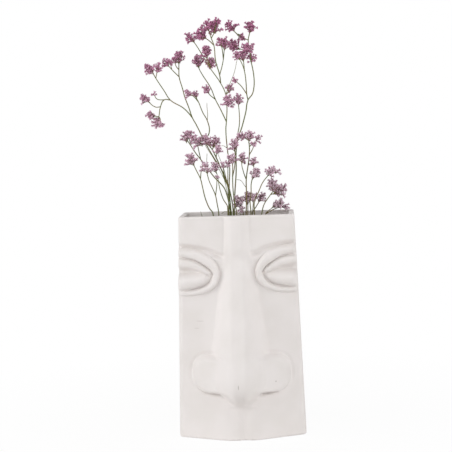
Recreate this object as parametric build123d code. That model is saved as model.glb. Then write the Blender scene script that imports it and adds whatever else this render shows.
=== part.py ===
# Face vase: a slip-cast white ceramic vase whose front is a stylised face, holding dried sea lavender.
# The vase is one hollow casting. The dried sprays stand in it loose, and lift out together.
#
# Frame: +X to the viewer's right, +Y away from the viewer, +Z up.
# Origin: the centre of the vase's footprint, on the surface that it stands on.
# Units: millimetres, and degrees for angles.

from build123d import *
import math
import os

# The block that the face is cast on. It narrows towards the rim, and its front is a shallow V
# whose flat middle strip is wide at the chin and narrow at the brow.
VASE_HEIGHT = 250
TOP_WIDTH = 130
BASE_WIDTH = 144
VASE_DEPTH = 80
BROW_REACH = 2.5
CHIN_REACH = 24
BROW_STRIP = 12
CHIN_STRIP = 31
CORNER_RADIUS = 6
CHIN_RADIUS = 9
RIM_ROUND = 1.5
FOOT_BEVEL = 1.5

# The casting's wall, which follows the outside
WALL = 6
FLOOR = 7
INNER_CORNER_RADIUS = 3
OVERRUN = 12

# Nose and forehead band: two ridges that meet in a dip between the eyes
NOSE_RELIEF = 33
NOSE_WIDTH = 72
NOSE_ROUND = 8
NOSE_SINK = 5
# Each section: its height as a share of the vase's, then its half width at the cheek and on the ridge
# as shares of the nose's width, its relief as a share of the nose's, and its rounding as a share
BAND_SHARES = (
    (1.06, 0.180, 0.075, 0.14, 0.25),
    (0.835, 0.205, 0.080, 0.14, 0.30),
    (0.795, 0.215, 0.085, 0.01, 0.30),
)
NOSE_SHARES = (
    (0.84, 0.210, 0.080, 0.00, 0.25),
    (0.80, 0.220, 0.085, 0.09, 0.35),
    (0.75, 0.245, 0.095, 0.20, 0.50),
    (0.63, 0.310, 0.120, 0.43, 0.75),
    (0.50, 0.380, 0.145, 0.67, 0.90),
    (0.38, 0.470, 0.165, 0.88, 1.00),
    (0.30, 0.580, 0.175, 1.00, 1.00),
    (0.26, 0.560, 0.170, 0.97, 1.00),
    (0.22, 0.450, 0.145, 0.74, 0.85),
    (0.19, 0.300, 0.110, 0.42, 0.60),
    (0.155, 0.110, 0.050, 0.05, 0.20),
)
# The hollow inside the nose takes these sections again, drawn in by the wall
HOLLOW_SECTION_SHARES = NOSE_SHARES[3:9]

# Wings of the nose: one long pillow on each cheek, round at its outer end
WING_HEIGHT = 74.5
WING_RADIUS = 22
WING_CENTRE = 33.5
WING_RELIEF = 15
WING_ROUND = 11

# Groove from the nose down to the foot
PHILTRUM_WIDTH = 12
PHILTRUM_DEPTH = 2

# Eyes. They run off the vase's sides, so they are measured inwards from there.
EYE_LENGTH = 48
EYE_OPENING = 55
EYE_HEIGHT = 188.5
RING_RELIEF = 3
LID_RELIEF = 3
BALL_LENGTH = 34
BALL_OPENING = 19
BALL_RELIEF = 4
BALL_DROP = 8
BROW_RADIUS = 9
BROW_DIP = 2.4
BEAD_SIDES = 12
# Points of each rounded bead: share of the eye's length in from the side, share of its opening up
# from its middle, and the bead's radius as a share of the opening
RING_SHARES = (
    (-0.15, 0.400, 0.108), (0.18, 0.375, 0.110), (0.45, 0.300, 0.108), (0.66, 0.205, 0.102),
    (0.82, 0.085, 0.090), (0.89, -0.060, 0.080), (0.83, -0.215, 0.075), (0.68, -0.330, 0.070),
    (0.46, -0.405, 0.064), (0.15, -0.430, 0.062), (-0.15, -0.410, 0.060),
)
LID_SHARES = (
    (-0.15, 0.200, 0.080), (0.20, 0.180, 0.080), (0.45, 0.110, 0.076), (0.60, 0.030, 0.068),
    (0.70, -0.060, 0.058),
)
BROW_SHARES = ((-0.15, 0.56), (0.35, 0.52), (0.75, 0.37), (1.02, 0.20))

# Bunch of dried sprays. Every place in it is a share of this reach, measured from the bunch's middle
# at the rim: to the right, towards the back, and up. Its rearmost stem stays clear of the back wall.
BUNCH_REACH = 115
REAR_SHARE = 0.13
REAR_GAP = 1.05
BUNCH_Y = VASE_DEPTH / 2 - WALL - REAR_GAP - REAR_SHARE * BUNCH_REACH
BUNCH_LEAN = 1.9
FOOT_GAP = 0.3
GATHER_SHARE = 0.6
FORK_SHARE = 0.7
BOW = 3
STALK_RADIUS = 0.8
RANK_SHARES = (1, 0.75, 0.6)
STEM_SIDES = 4

# Head of flowers: a funnel that stands on the limb's end, and others that spread from it, as half widths
HEAD_RADIUS = 8
SPREAD_SHARE = 0.15
FOOT_SHARE = 0.4
FUNNEL_ROOT_SHARE = 0.07
FUNNEL_MOUTH_SHARE = 0.28
SIDE_FUNNELS = 3
FUNNEL_TILT = 62

# Each spray is a list of limbs, its main stalk first. A limb is its rank, the share of a full head
# that it ends in, and its points. A limb with no first point starts at the fork below the rim.
SPRAY_SHARES = (
    (
        (0, 0.9, (-.07, .03, .0), (-.085, .03, .16), (-.09, .04, .26), (-.085, .05, .44), (-.11, .06, .64),
         (-.125, .07, .84), (-.12, .08, .91), (-.115, .09, 1.08), (-.127, .10, 1.185), (-.18, .11, 1.30),
         (-.285, .12, 1.45), (-.37, .12, 1.59), (-.44, .12, 1.70), (-.49, .12, 1.76)),
        (1, 0.9, (-.12, .08, .91), (-.18, .16, 1.03), (-.24, .22, 1.14), (-.29, .25, 1.26), (-.38, .26, 1.40),
         (-.41, .26, 1.46), (-.42, .26, 1.52)),
        (2, 0.6, (-.24, .22, 1.14), (-.30, .20, 1.19), (-.33, .18, 1.24)),
        (2, 0.9, (-.115, .09, 1.08), (-.10, .05, 1.10), (-.08, .02, 1.12)),
        (2, 0.7, (-.127, .10, 1.185), (-.10, .15, 1.22), (-.09, .18, 1.25)),
        (1, 0.8, (-.18, .11, 1.30), (-.187, .05, 1.38), (-.225, .0, 1.52), (-.24, -.03, 1.67), (-.265, -.05, 1.74),
         (-.29, -.06, 1.82), (-.30, -.06, 1.87)),
        (2, 0.7, (-.24, -.03, 1.67), (-.29, .02, 1.72), (-.35, .03, 1.76), (-.38, .03, 1.78)),
        (2, 0.5, (-.35, .03, 1.76), (-.36, -.04, 1.83)),
        (2, 0.7, (-.265, -.05, 1.74), (-.235, -.01, 1.81), (-.24, .02, 1.85)),
        (2, 0.6, (-.235, -.01, 1.81), (-.215, -.06, 1.90)),
        (2, 0.6, (-.187, .05, 1.38), (-.165, .06, 1.46), (-.15, .07, 1.54), (-.143, .08, 1.62), (-.14, .09, 1.70)),
        (2, 0.5, (-.15, .07, 1.54), (-.16, .0, 1.64), (-.18, -.01, 1.71)),
        (2, 0.7, (-.285, .12, 1.45), (-.28, .19, 1.50)),
        (2, 0.8, (-.285, .12, 1.45), (-.31, .05, 1.54), (-.32, .03, 1.62)),
    ),
    (
        (0, 0.8, (-.05, .075, .0), (-.07, .08, .14), (-.12, .09, .32), (-.18, .10, .44), (-.24, .11, .53),
         (-.35, .13, .72), (-.43, .14, .88), (-.47, .15, .95), (-.51, .17, 1.06), (-.55, .19, 1.16),
         (-.575, .20, 1.25), (-.61, .21, 1.37), (-.612, .21, 1.44), (-.60, .21, 1.54)),
        (2, 0.5, (-.612, .21, 1.44), (-.65, .26, 1.49), (-.67, .28, 1.52)),
        (2, 0.6, (-.61, .21, 1.37), (-.64, .16, 1.40), (-.68, .15, 1.44), (-.74, .15, 1.51)),
        (2, 0.4, (-.68, .15, 1.44), (-.69, .10, 1.50)),
        (1, 0.8, (-.47, .15, .95), (-.50, .13, .99), (-.56, .11, 1.05), (-.69, .09, 1.13), (-.75, .08, 1.22),
         (-.835, .07, 1.35), (-.87, .07, 1.41), (-.90, .07, 1.45)),
        (2, 0.6, (-.835, .07, 1.35), (-.82, .03, 1.40), (-.81, .0, 1.45)),
        (1, 0.8, (-.69, .09, 1.13), (-.75, .05, 1.13), (-.785, .03, 1.06), (-.80, .01, .96), (-.80, .0, .93)),
        (2, 0.7, (-.785, .03, 1.06), (-.84, .05, 1.06), (-.92, .06, 1.12), (-.95, .06, 1.14)),
        (2, 0.4, (-.75, .05, 1.13), (-.82, .02, 1.14), (-.845, .01, 1.18)),
        (2, 0.7, (-.80, .01, .96), (-.85, .05, .97), (-.89, .07, .98)),
        (2, 0.5, (-.80, .01, .96), (-.78, -.05, .94), (-.76, -.08, .92)),
        (1, 0.7, (-.35, .13, .72), (-.30, .17, .80), (-.32, .19, .92), (-.37, .20, 1.01), (-.41, .20, 1.11),
         (-.435, .20, 1.16), (-.44, .20, 1.19)),
        (2, 0.4, (-.41, .20, 1.11), (-.46, .15, 1.17), (-.49, .13, 1.21)),
    ),
    (
        (0, 0.9, (-.04, .11, .0), (-.035, .12, .19), (-.023, .13, .39), (-.02, .14, .66), (.0, .14, .76),
         (.03, .14, .84), (.05, .14, .91), (.075, .14, 1.01), (.097, .14, 1.13), (.14, .14, 1.19),
         (.157, .14, 1.26), (.157, .14, 1.36), (.14, .13, 1.465), (.125, .12, 1.53), (.115, .10, 1.62),
         (.10, .09, 1.73), (.115, .09, 1.81), (.12, .09, 1.87)),
        (2, 0.7, (.125, .12, 1.53), (.13, .17, 1.56)),
        (2, 0.8, (.115, .10, 1.62), (.09, .05, 1.65)),
        (2, 0.6, (.10, .09, 1.73), (.04, .12, 1.76), (-.01, .13, 1.79), (-.02, .13, 1.83)),
        (2, 0.8, (-.01, .13, 1.79), (-.06, .15, 1.84), (-.09, .15, 1.88)),
        (2, 0.7, (.115, .10, 1.62), (.04, .17, 1.64), (-.01, .19, 1.66), (-.05, .20, 1.69)),
        (1, 0.8, (.097, .14, 1.13), (.085, .10, 1.19), (.08, .07, 1.29), (.063, .04, 1.42), (.03, .01, 1.51),
         (-.005, .0, 1.57)),
        (2, 0.6, (.063, .04, 1.42), (.055, .08, 1.50), (.045, .10, 1.58)),
        (2, 0.6, (.085, .10, 1.19), (.02, .04, 1.28), (-.03, .02, 1.34)),
        (1, 0.8, (-.02, .14, .66), (-.01, .20, .78), (.007, .22, .89), (.005, .23, 1.0), (-.01, .23, 1.14)),
    ),
    (
        (0, 1.0, (-.075, -.015, .0), (-.09, -.015, .09), (-.11, -.01, .17), (-.14, .0, .245), (-.24, .03, .35),
         (-.31, .04, .44), (-.38, .05, .53), (-.42, .05, .58), (-.48, .05, .67), (-.52, .05, .74), (-.52, .05, .77)),
        (2, 0.6, (-.48, .05, .67), (-.49, .0, .75), (-.48, -.03, .81)),
        (2, 0.6, (-.38, .05, .53), (-.40, .0, .64), (-.415, -.02, .72), (-.42, -.02, .75)),
    ),
    (
        (0, 0.9, (-.25, -.095, .0), (-.28, -.10, .04), (-.315, -.11, .12), (-.33, -.12, .17), (-.35, -.13, .26),
         (-.37, -.13, .34), (-.41, -.12, .42), (-.44, -.11, .48), (-.47, -.11, .54)),
        (2, 0.8, (-.37, -.13, .34), (-.365, -.08, .42), (-.35, -.05, .48)),
        (1, 0.8, None, (-.19, -.09, .0), (-.205, -.10, .09), (-.22, -.11, .17), (-.25, -.14, .25),
         (-.28, -.17, .32), (-.30, -.19, .40), (-.31, -.19, .45)),
        (2, 0.4, (-.22, -.11, .17), (-.205, -.15, .29), (-.205, -.16, .35)),
        (2, 0.8, None, (-.10, -.10, .06), (-.14, -.11, .13), (-.17, -.10, .21), (-.185, -.09, .27),
         (-.20, -.09, .36), (-.23, -.10, .46)),
    ),
    (
        (0, 0.8, (-.09, -.05, .0), (-.09, -.05, .14), (-.10, -.05, .26), (-.13, -.04, .34), (-.17, -.03, .44),
         (-.22, -.01, .55), (-.26, .0, .63), (-.30, .01, .69), (-.32, .01, .73)),
        (2, 0.8, (-.26, .0, .63), (-.24, .05, .68), (-.23, .07, .71)),
        (2, 0.7, (-.22, -.01, .55), (-.21, -.06, .60), (-.20, -.08, .63)),
        (2, 0.6, (-.13, -.04, .34), (-.14, -.09, .42), (-.15, -.10, .47)),
        (2, 0.6, (-.10, -.05, .26), (-.10, -.03, .40), (-.10, -.03, .48)),
    ),
    (
        (0, 0.9, (-.01, -.07, .0), (-.03, -.07, .10), (-.045, -.08, .22), (-.05, -.09, .36), (-.05, -.10, .48),
         (-.06, -.10, .54)),
        (1, 0.9, (-.05, -.09, .36), (-.03, -.03, .48), (-.03, -.01, .60), (-.035, .0, .68)),
    ),
    (
        (0, 0.8, (.085, -.035, .0), (.088, -.03, .10), (.088, -.03, .19), (.085, -.02, .33), (.105, .0, .49),
         (.115, .01, .58), (.115, .02, .66), (.11, .03, .72), (.12, .04, .77)),
        (2, 0.8, (.085, -.02, .33), (.06, -.05, .40), (.04, -.05, .49), (.045, -.03, .55)),
        (2, 0.7, (.115, .01, .58), (.14, -.03, .62), (.157, -.04, .66), (.16, -.05, .68)),
        (2, 0.5, (.115, .02, .66), (.17, .08, .71), (.20, .09, .74)),
        (2, 0.7, (.11, .03, .72), (.06, .05, .75), (.03, .05, .78)),
    ),
    (
        (0, 0.9, (.135, -.08, .0), (.125, -.08, .12), (.135, -.09, .19), (.14, -.09, .31), (.165, -.09, .37),
         (.18, -.09, .40)),
        (2, 0.8, (.14, -.09, .31), (.16, -.03, .42), (.16, -.02, .51)),
        (1, 0.9, None, (.17, -.10, .0), (.17, -.11, .11), (.215, -.12, .22), (.255, -.13, .31), (.31, -.13, .38),
         (.34, -.16, .42)),
        (2, 0.6, (.31, -.13, .38), (.36, -.07, .40), (.40, -.05, .43)),
        (1, 0.9, None, (.245, -.08, .0), (.265, -.07, .08), (.33, -.06, .18), (.36, -.05, .23), (.35, -.04, .28)),
        (2, 0.9, (.33, -.06, .18), (.39, .0, .20), (.44, .02, .23)),
    ),
    (
        (0, 0.8, (.05, .03, .0), (.03, .035, .04), (.01, .04, .09), (.0, .04, .12)),
        (2, 0.5, None, (.03, -.02, -.06), (.035, -.05, .0)),
        (2, 0.5, None, (.10, .02, .0), (.10, .045, .09), (.10, .055, .15)),
        (2, 0.5, None, (.15, .0, .0), (.155, -.01, .08), (.16, -.01, .15)),
        (2, 0.6, (.15, .0, .0), (.20, .03, .08), (.24, .04, .15)),
        (2, 1.0, None, (.28, .03, -.02), (.36, .03, .05), (.41, .03, .08)),
        (2, 0.4, (.28, .03, -.02), (.38, .09, .03), (.47, .11, .06)),
    ),
)


def taper(low, high, height):
    """A size that runs evenly from the foot to the rim."""
    return low + (high - low) * height / VASE_HEIGHT


def half_width(height):
    return taper(BASE_WIDTH, TOP_WIDTH, height) / 2


def half_strip(height):
    return taper(CHIN_STRIP, BROW_STRIP, height) / 2


def reach(height):
    return taper(CHIN_REACH, BROW_REACH, height)


def cheek_y(across, height):
    """Y of the plain cheek at this distance from the middle."""
    side = half_width(height)
    strip = half_strip(height)
    share = (side - max(across, strip)) / (side - strip)
    return -VASE_DEPTH / 2 - reach(height) * max(share, 0)


def cheek_slope():
    """Angle by which the cheeks fall back from the middle, halfway up."""
    height = VASE_HEIGHT / 2
    return math.degrees(math.atan2(reach(height), half_width(height) - half_strip(height)))


def silhouette(inset, low, high):
    """The block's front view between two heights, drawn in by inset, as a bar from the back forwards."""
    wide = half_width(low) - inset
    narrow = half_width(high) - inset
    outline = Polyline((-wide, low), (wide, low), (narrow, high), (-narrow, high), close=True)
    back = Plane.XZ.offset(inset - VASE_DEPTH / 2)
    return extrude(back * make_face(outline), VASE_DEPTH * 2)


def front_section(inset, height):
    """Section of a larger block that has the V-shaped front, drawn in by inset."""
    side = half_width(height)
    strip = half_strip(height)
    far = side + OVERRUN
    front = inset - VASE_DEPTH / 2
    nose_line = front - reach(height)
    far_line = front + reach(height) * OVERRUN / (side - strip)
    outline = Polyline(
        (-far, VASE_DEPTH), (far, VASE_DEPTH), (far, far_line), (strip, nose_line), (-strip, nose_line),
        (-far, far_line), close=True,
    )
    flat = make_face(outline)
    flat = fillet(flat.vertices().sort_by(Axis.Y)[:2], CHIN_RADIUS)
    return Pos(0, 0, height) * flat


def block(inset, radius, low, high):
    """The plain block, with its four upright corners rounded."""
    bar = silhouette(inset, low, high)
    back_edges = bar.edges().group_by(Axis.Y)[-1].sort_by(Axis.X)
    bar = fillet([back_edges[0], back_edges[-1]], radius)
    bar &= loft([front_section(inset, low), front_section(inset, high)], ruled=True)
    height = (low + high) / 2
    side = half_width(height) - inset
    front = inset - VASE_DEPTH / 2
    corners = [bar.edges().sort_by_distance((place, front, height))[0] for place in (-side, side)]
    return fillet(corners, radius)


def nose_section(shares, wall):
    """One section of the nose, or of the hollow that a wall of this thickness leaves inside it."""
    height = shares[0] * VASE_HEIGHT
    level = min(height, VASE_HEIGHT)
    foot = shares[1] * NOSE_WIDTH
    ridge = shares[2] * NOSE_WIDTH
    foot_y = cheek_y(foot, level)
    ridge_y = -VASE_DEPTH / 2 - reach(level) - shares[3] * NOSE_RELIEF
    flank = (foot - ridge) / (foot_y - ridge_y)
    deep_y = foot_y + NOSE_SINK + wall
    deep = foot + min(flank, 1) * NOSE_SINK - wall / 2
    back_y = -VASE_DEPTH / 2 + NOSE_SINK * 2 + wall
    ridge_y += wall
    ridge -= wall / 2
    outline = Polyline(
        (-deep, back_y), (-deep, deep_y), (-ridge, ridge_y), (ridge, ridge_y), (deep, deep_y), (deep, back_y),
        close=True,
    )
    flat = make_face(outline)
    rounding = shares[4] * NOSE_ROUND - wall / 2
    flat = fillet(flat.vertices().sort_by(Axis.Y)[:2], max(rounding, ridge / 2))
    return Pos(0, 0, height) * flat


def nose(sections, wall):
    return loft([nose_section(shares, wall) for shares in sections], ruled=True)


def wing(side, wall):
    """A long pillow on the cheek, from the middle to a round outer end, with a soft front edge.

    Its hollow, where there is a wall, has a plain slanting edge instead.
    """
    angle = math.radians(cheek_slope())
    centre = (side * WING_CENTRE, cheek_y(WING_CENTRE, WING_HEIGHT) + wall, WING_HEIGHT)
    outward = (side * math.sin(angle), -math.cos(angle), 0)
    along = (math.cos(angle), side * math.sin(angle), 0)
    on_cheek = Plane(origin=centre, x_dir=along, z_dir=outward)
    radius = WING_RADIUS - wall
    outline = Circle(radius) + Pos(-side * WING_CENTRE / 2, 0) * Rectangle(WING_CENTRE, radius * 2)
    pillow = on_cheek * extrude(outline, WING_RELIEF - wall / 3)
    front_face = pillow.faces().sort_by(Axis(centre, outward))[-1]
    if wall:
        pillow = chamfer(front_face.edges(), WING_ROUND / 2)
    else:
        pillow = fillet(front_face.edges(), WING_ROUND)
    root = on_cheek * extrude(outline, -WING_RADIUS / 2)
    return pillow + root


def eye_point(across, up, sink, side):
    """A point of the eye, sunk this far behind the cheek."""
    height = EYE_HEIGHT + up * EYE_OPENING
    out = half_width(EYE_HEIGHT) - across * EYE_LENGTH
    return Vector(side * out, cheek_y(out, height) + sink, height)


def bead(points, radii):
    """A rounded bead through these points, swelling and thinning as the radii say."""
    path = Spline(*points)
    rings = []
    for point, radius in zip(points, radii):
        along = path.tangent_at(path.param_at_point(point))
        rings.append(Plane(origin=point, x_dir=(0, 1, 0), z_dir=along) * RegularPolygon(radius, BEAD_SIDES))
    return loft(rings, ruled=True)


def eye_bead(shares, relief, side):
    radii = [radius * EYE_OPENING for across, up, radius in shares]
    points = [eye_point(s[0], s[1], radius - relief, side) for s, radius in zip(shares, radii)]
    return bead(points, radii)


def brow_channel(side):
    """The soft dip that the forehead makes above the eye's ring."""
    points = [eye_point(across, up, BROW_DIP - BROW_RADIUS, side) for across, up in BROW_SHARES]
    return bead(points, [BROW_RADIUS] * len(points))


def eyeball(side):
    """A round bar sunk into the cheek, with a ball for its inner end."""
    radius = ((BALL_OPENING / 2) ** 2 + BALL_RELIEF ** 2) / (2 * BALL_RELIEF)
    inner = eye_point(BALL_LENGTH / EYE_LENGTH, 0, radius - BALL_RELIEF, side) - Vector(0, 0, BALL_DROP)
    outer = eye_point(-1, 0, radius - BALL_RELIEF, side) - Vector(0, 0, BALL_DROP)
    bar = Plane(origin=inner, z_dir=outer - inner) * Circle(radius)
    return extrude(bar, (outer - inner).length) + Pos(inner) * Sphere(radius)


def philtrum():
    """The groove in the lip, cut by a slanting round bar along the middle strip."""
    radius = (PHILTRUM_WIDTH ** 2 / 4 + PHILTRUM_DEPTH ** 2) / (2 * PHILTRUM_DEPTH)
    low = Vector(0, -VASE_DEPTH / 2 - reach(0) - radius + PHILTRUM_DEPTH, -OVERRUN)
    high = Vector(0, -VASE_DEPTH / 2 - reach(WING_HEIGHT) - radius + PHILTRUM_DEPTH, WING_HEIGHT)
    low += (low - high) * OVERRUN / WING_HEIGHT
    bar = Plane(origin=low, z_dir=high - low) * Circle(radius)
    return extrude(bar, (high - low).length)


def vase_body():
    body = block(0, CORNER_RADIUS, 0, VASE_HEIGHT)
    body -= philtrum()
    for side in (-1, 1):
        body -= brow_channel(side)
    face = nose(NOSE_SHARES, 0) + nose(BAND_SHARES, 0)
    for side in (-1, 1):
        face += wing(side, 0)
        face += eye_bead(RING_SHARES, RING_RELIEF, side)
        face += eye_bead(LID_SHARES, LID_RELIEF, side)
        face += eyeball(side)
    body += face & silhouette(0, 0, VASE_HEIGHT)
    hollow = block(WALL, INNER_CORNER_RADIUS, FLOOR, VASE_HEIGHT + OVERRUN)
    hollow += nose(HOLLOW_SECTION_SHARES, WALL)
    for side in (-1, 1):
        hollow += wing(side, WALL)
    body -= hollow
    rim = body.faces().sort_by(Axis.Z)[-1]
    body = fillet(rim.edges(), RIM_ROUND)
    base = body.faces().sort_by(Axis.Z)[0]
    return chamfer(base.edges(), FOOT_BEVEL)


def place(point):
    """A point of the bunch, from its shares, in the vase's frame."""
    across, back, up = (share * BUNCH_REACH for share in point)
    lean = math.radians(BUNCH_LEAN)
    return Vector(
        across * math.cos(lean) + up * math.sin(lean),
        BUNCH_Y + back,
        VASE_HEIGHT + up * math.cos(lean) - across * math.sin(lean),
    )


def foot_of(mouth):
    """Where a stalk that passes the rim here stands on the vase's floor."""
    return Vector(
        mouth.X * GATHER_SHARE,
        BUNCH_Y + (mouth.Y - BUNCH_Y) * GATHER_SHARE,
        FLOOR + FOOT_GAP,
    )


def limb_points(points, fork):
    if points[0] is None:
        return [fork] + [place(point) for point in points[1:]]
    return [place(point) for point in points]


def polygon(origin, direction, radius):
    return Plane(origin=origin, z_dir=direction) * RegularPolygon(radius, STEM_SIDES)


def stalk(points, radius):
    """A thin stalk along straight runs with mitred joints."""
    path = Polyline(*points)
    return sweep(polygon(points[0], points[1] - points[0], radius), path, transition=Transition.RIGHT)


def funnel(length, root, mouth):
    """A four-sided funnel that opens upwards from the origin, half as wide as root and mouth say."""
    outline = Polyline((-root, 0), (root, 0), (mouth, length), (-mouth, length), close=True)
    profile = make_face(outline)
    across, along = (extrude(plane * profile, mouth, both=True) for plane in (Plane.XZ, Plane.YZ))
    return across & along


def head(size):
    """A head of flowers on the origin: a funnel that stands there, and others that spread from it."""
    mouth = FUNNEL_MOUTH_SHARE * size
    upright = funnel(size, STALK_RADIUS * FOOT_SHARE, mouth)
    spread = SPREAD_SHARE * size
    leaning = Rot(0, FUNNEL_TILT, 0) * funnel(size - spread, FUNNEL_ROOT_SHARE * size, mouth)
    turns = [360 / SIDE_FUNNELS * count for count in range(SIDE_FUNNELS)]
    return upright.fuse(*[Pos(0, 0, spread) * Rot(0, 0, turn) * leaning for turn in turns])


def spray(limbs):
    """One spray: its forking stem, and its heads of flowers."""
    mouth = place(limbs[0][2])
    foot = foot_of(mouth)
    fork = foot + (mouth - foot) * FORK_SHARE + Vector(0, BOW, 0)
    limb_solids = []
    heads = []
    for rank, bloom, *points in limbs:
        route = limb_points(points, fork)
        if not limb_solids:
            route = [foot, fork] + route
        radius = STALK_RADIUS * RANK_SHARES[rank]
        along = (route[-1] - route[-2]).normalized()
        limb_solids.append(stalk(route, radius))
        heads.append(Plane(origin=route[-1], z_dir=along) * HEADS[bloom])
    stem = limb_solids[0].fuse(*limb_solids[1:])
    return stem, Compound(heads)


# One model for each size of head, set down wherever a limb ends in one
SIZE_SHARES = sorted({limb[1] for limbs in SPRAY_SHARES for limb in limbs})
HEADS = {share: head(share * HEAD_RADIUS) for share in SIZE_SHARES}


def main():
    os.makedirs("parts", exist_ok=True)
    vase = vase_body()
    export_step(vase, "parts/vase_body.step")
    print("vase_body", round(vase.volume), "mm3")
    for count, limbs in enumerate(SPRAY_SHARES, start=1):
        stem, blossom = spray(limbs)
        export_step(stem, f"parts/spray_{count}_stem.step")
        export_step(blossom, f"parts/spray_{count}_blossom.step")
        print(f"spray_{count}", len(stem.solids()), "stem,", len(blossom.solids()), "blossom solids")


main()
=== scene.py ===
# %% [markdown]
# # A face vase with dried sea lavender
# The real object is one hollow casting in white clay. Its front was pressed into a face by the
# mould, and a loose bunch of dried flowers stands in it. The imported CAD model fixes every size, so
# the lesson starts by loading it, and builds finer pieces in the same places. All sizes below are
# in metres, unless a comment calls them shares.

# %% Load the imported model
import math
import random

import bpy
import numpy as np
from mathutils import Matrix, Vector


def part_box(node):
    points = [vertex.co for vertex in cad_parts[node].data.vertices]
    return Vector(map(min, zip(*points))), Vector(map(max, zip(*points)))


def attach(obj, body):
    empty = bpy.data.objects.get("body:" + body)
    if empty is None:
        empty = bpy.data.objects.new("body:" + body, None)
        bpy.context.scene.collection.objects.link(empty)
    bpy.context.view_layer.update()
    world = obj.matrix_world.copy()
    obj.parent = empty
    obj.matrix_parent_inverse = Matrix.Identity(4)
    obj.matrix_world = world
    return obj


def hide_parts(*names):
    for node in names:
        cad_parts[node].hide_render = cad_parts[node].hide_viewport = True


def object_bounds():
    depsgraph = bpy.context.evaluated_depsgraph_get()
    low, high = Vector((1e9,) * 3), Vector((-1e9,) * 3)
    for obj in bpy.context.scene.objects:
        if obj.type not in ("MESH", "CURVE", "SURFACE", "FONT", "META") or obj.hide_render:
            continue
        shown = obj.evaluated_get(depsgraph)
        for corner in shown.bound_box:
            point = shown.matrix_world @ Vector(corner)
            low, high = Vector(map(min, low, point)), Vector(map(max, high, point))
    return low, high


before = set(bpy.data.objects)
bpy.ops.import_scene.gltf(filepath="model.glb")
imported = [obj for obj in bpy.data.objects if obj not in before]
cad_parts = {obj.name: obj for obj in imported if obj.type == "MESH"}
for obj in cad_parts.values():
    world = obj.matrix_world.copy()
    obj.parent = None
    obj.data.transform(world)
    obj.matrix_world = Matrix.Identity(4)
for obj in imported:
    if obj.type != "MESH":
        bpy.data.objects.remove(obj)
CAD_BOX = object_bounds()
VASE_LOW, VASE_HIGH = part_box("vase_body")

# %% [markdown]
# ## The camera
# A product photographer stood a little to the vase's own left and above its rim, with a short
# telephoto lens, so the upright edges hardly run together. The distance and the angles below make
# the vase's corners fall where the photograph has them. The camera's axes are built by hand, because
# the picture is also tilted a little, which looking at a target can't give.

# %% Place the camera
CAMERA_DISTANCE = 1.4
CAMERA_YAW = math.radians(2.82)
CAMERA_RISE = math.radians(4.56)
CAMERA_ROLL = math.radians(-1.91)
CAMERA_TARGET = Vector((-0.0135, 0, 0.2355))
IMAGE_SIZE = 452
FOCAL_PIXELS = 1216.6
SENSOR = 36


def place_camera():
    bpy.ops.object.camera_add()
    camera = bpy.context.object
    back = Vector((
        math.sin(CAMERA_YAW) * math.cos(CAMERA_RISE),
        -math.cos(CAMERA_YAW) * math.cos(CAMERA_RISE),
        math.sin(CAMERA_RISE),
    ))
    level = Vector((math.cos(CAMERA_YAW), math.sin(CAMERA_YAW), 0))
    upright = back.cross(level)
    right = math.cos(CAMERA_ROLL) * level + math.sin(CAMERA_ROLL) * upright
    up = math.cos(CAMERA_ROLL) * upright - math.sin(CAMERA_ROLL) * level
    axes = Matrix((right, up, back)).transposed().to_4x4()
    axes.translation = CAMERA_TARGET + back * CAMERA_DISTANCE
    camera.matrix_world = axes
    camera.data.sensor_width = SENSOR
    camera.data.lens = FOCAL_PIXELS / IMAGE_SIZE * SENSOR
    bpy.context.scene.camera = camera
    return camera


camera = place_camera()
print("lens", round(camera.data.lens, 1), "mm")

# %% [markdown]
# ## Materials
# Every material is built from a few nodes. Colours are written as the hex values that an artist
# picks on screen, and one function turns them into the linear values that the renderer uses.

# %% Helpers for materials
def linear(colour):
    """Linear RGBA of a hex colour such as #e5e2df."""
    shares = [int(colour[i:i + 2], 16) / 255 for i in (1, 3, 5)]
    return [s / 12.92 if s <= 0.04045 else ((s + 0.055) / 1.055) ** 2.4 for s in shares] + [1]


def new_material(name):
    material = bpy.data.materials.new(name)
    material.use_nodes = True
    return material, material.node_tree, material.node_tree.nodes["Principled BSDF"]


def add_node(tree, kind, settings=None, values=None, links=None):
    """A node with these properties and input values, fed by these output sockets."""
    node = tree.nodes.new(kind)
    for name, value in (settings or {}).items():
        setattr(node, name, value)
    for name, value in (values or {}).items():
        node.inputs[name].default_value = value
    for name, socket in (links or {}).items():
        tree.links.new(socket, node.inputs[name])
    return node


def finish_piece(piece, material, body, slot, *nodes):
    """Gives a finished piece its material and its body, and hides the CAD nodes it stands for. The slot is
    not used.
    """
    piece.data.materials.clear()
    piece.data.materials.append(material)
    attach(piece, body)
    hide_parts(*nodes)
    print(piece.name, len(piece.data.polygons), "faces, on", body)


print("half grey in linear values", round(linear("#808080")[0], 3))

# %% [markdown]
# ## The studio
# The photograph was lit by big soft lights on both sides, brighter on the left, with a weaker one
# above and one in front that opens the shadow under the nose. Its background is plain white. A pale
# floor runs far behind the vase. It is drawn nearly white for the camera, but still catches a soft
# shadow where the vase stands, and it sends no extra light to the vase.

# %% Build the floor
FLOOR_SIZE = 40
FLOOR_TONE = "#f7f6f5"
FLOOR_LIFTS = (0.95, 1.0)
FLOOR_FADE = (0.1, 0.5)


def seen_directly(tree):
    """One for rays that the camera, a mirror or clear glass sends, zero for light on its way."""
    path = add_node(tree, "ShaderNodeLightPath").outputs
    share = path["Is Glossy Ray"]
    for kind in ("Is Transmission Ray", "Is Camera Ray"):
        either = add_node(tree, "ShaderNodeMath", {"operation": "MAXIMUM"}, links={0: share, 1: path[kind]})
        share = either.outputs[0]
    return share


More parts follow.
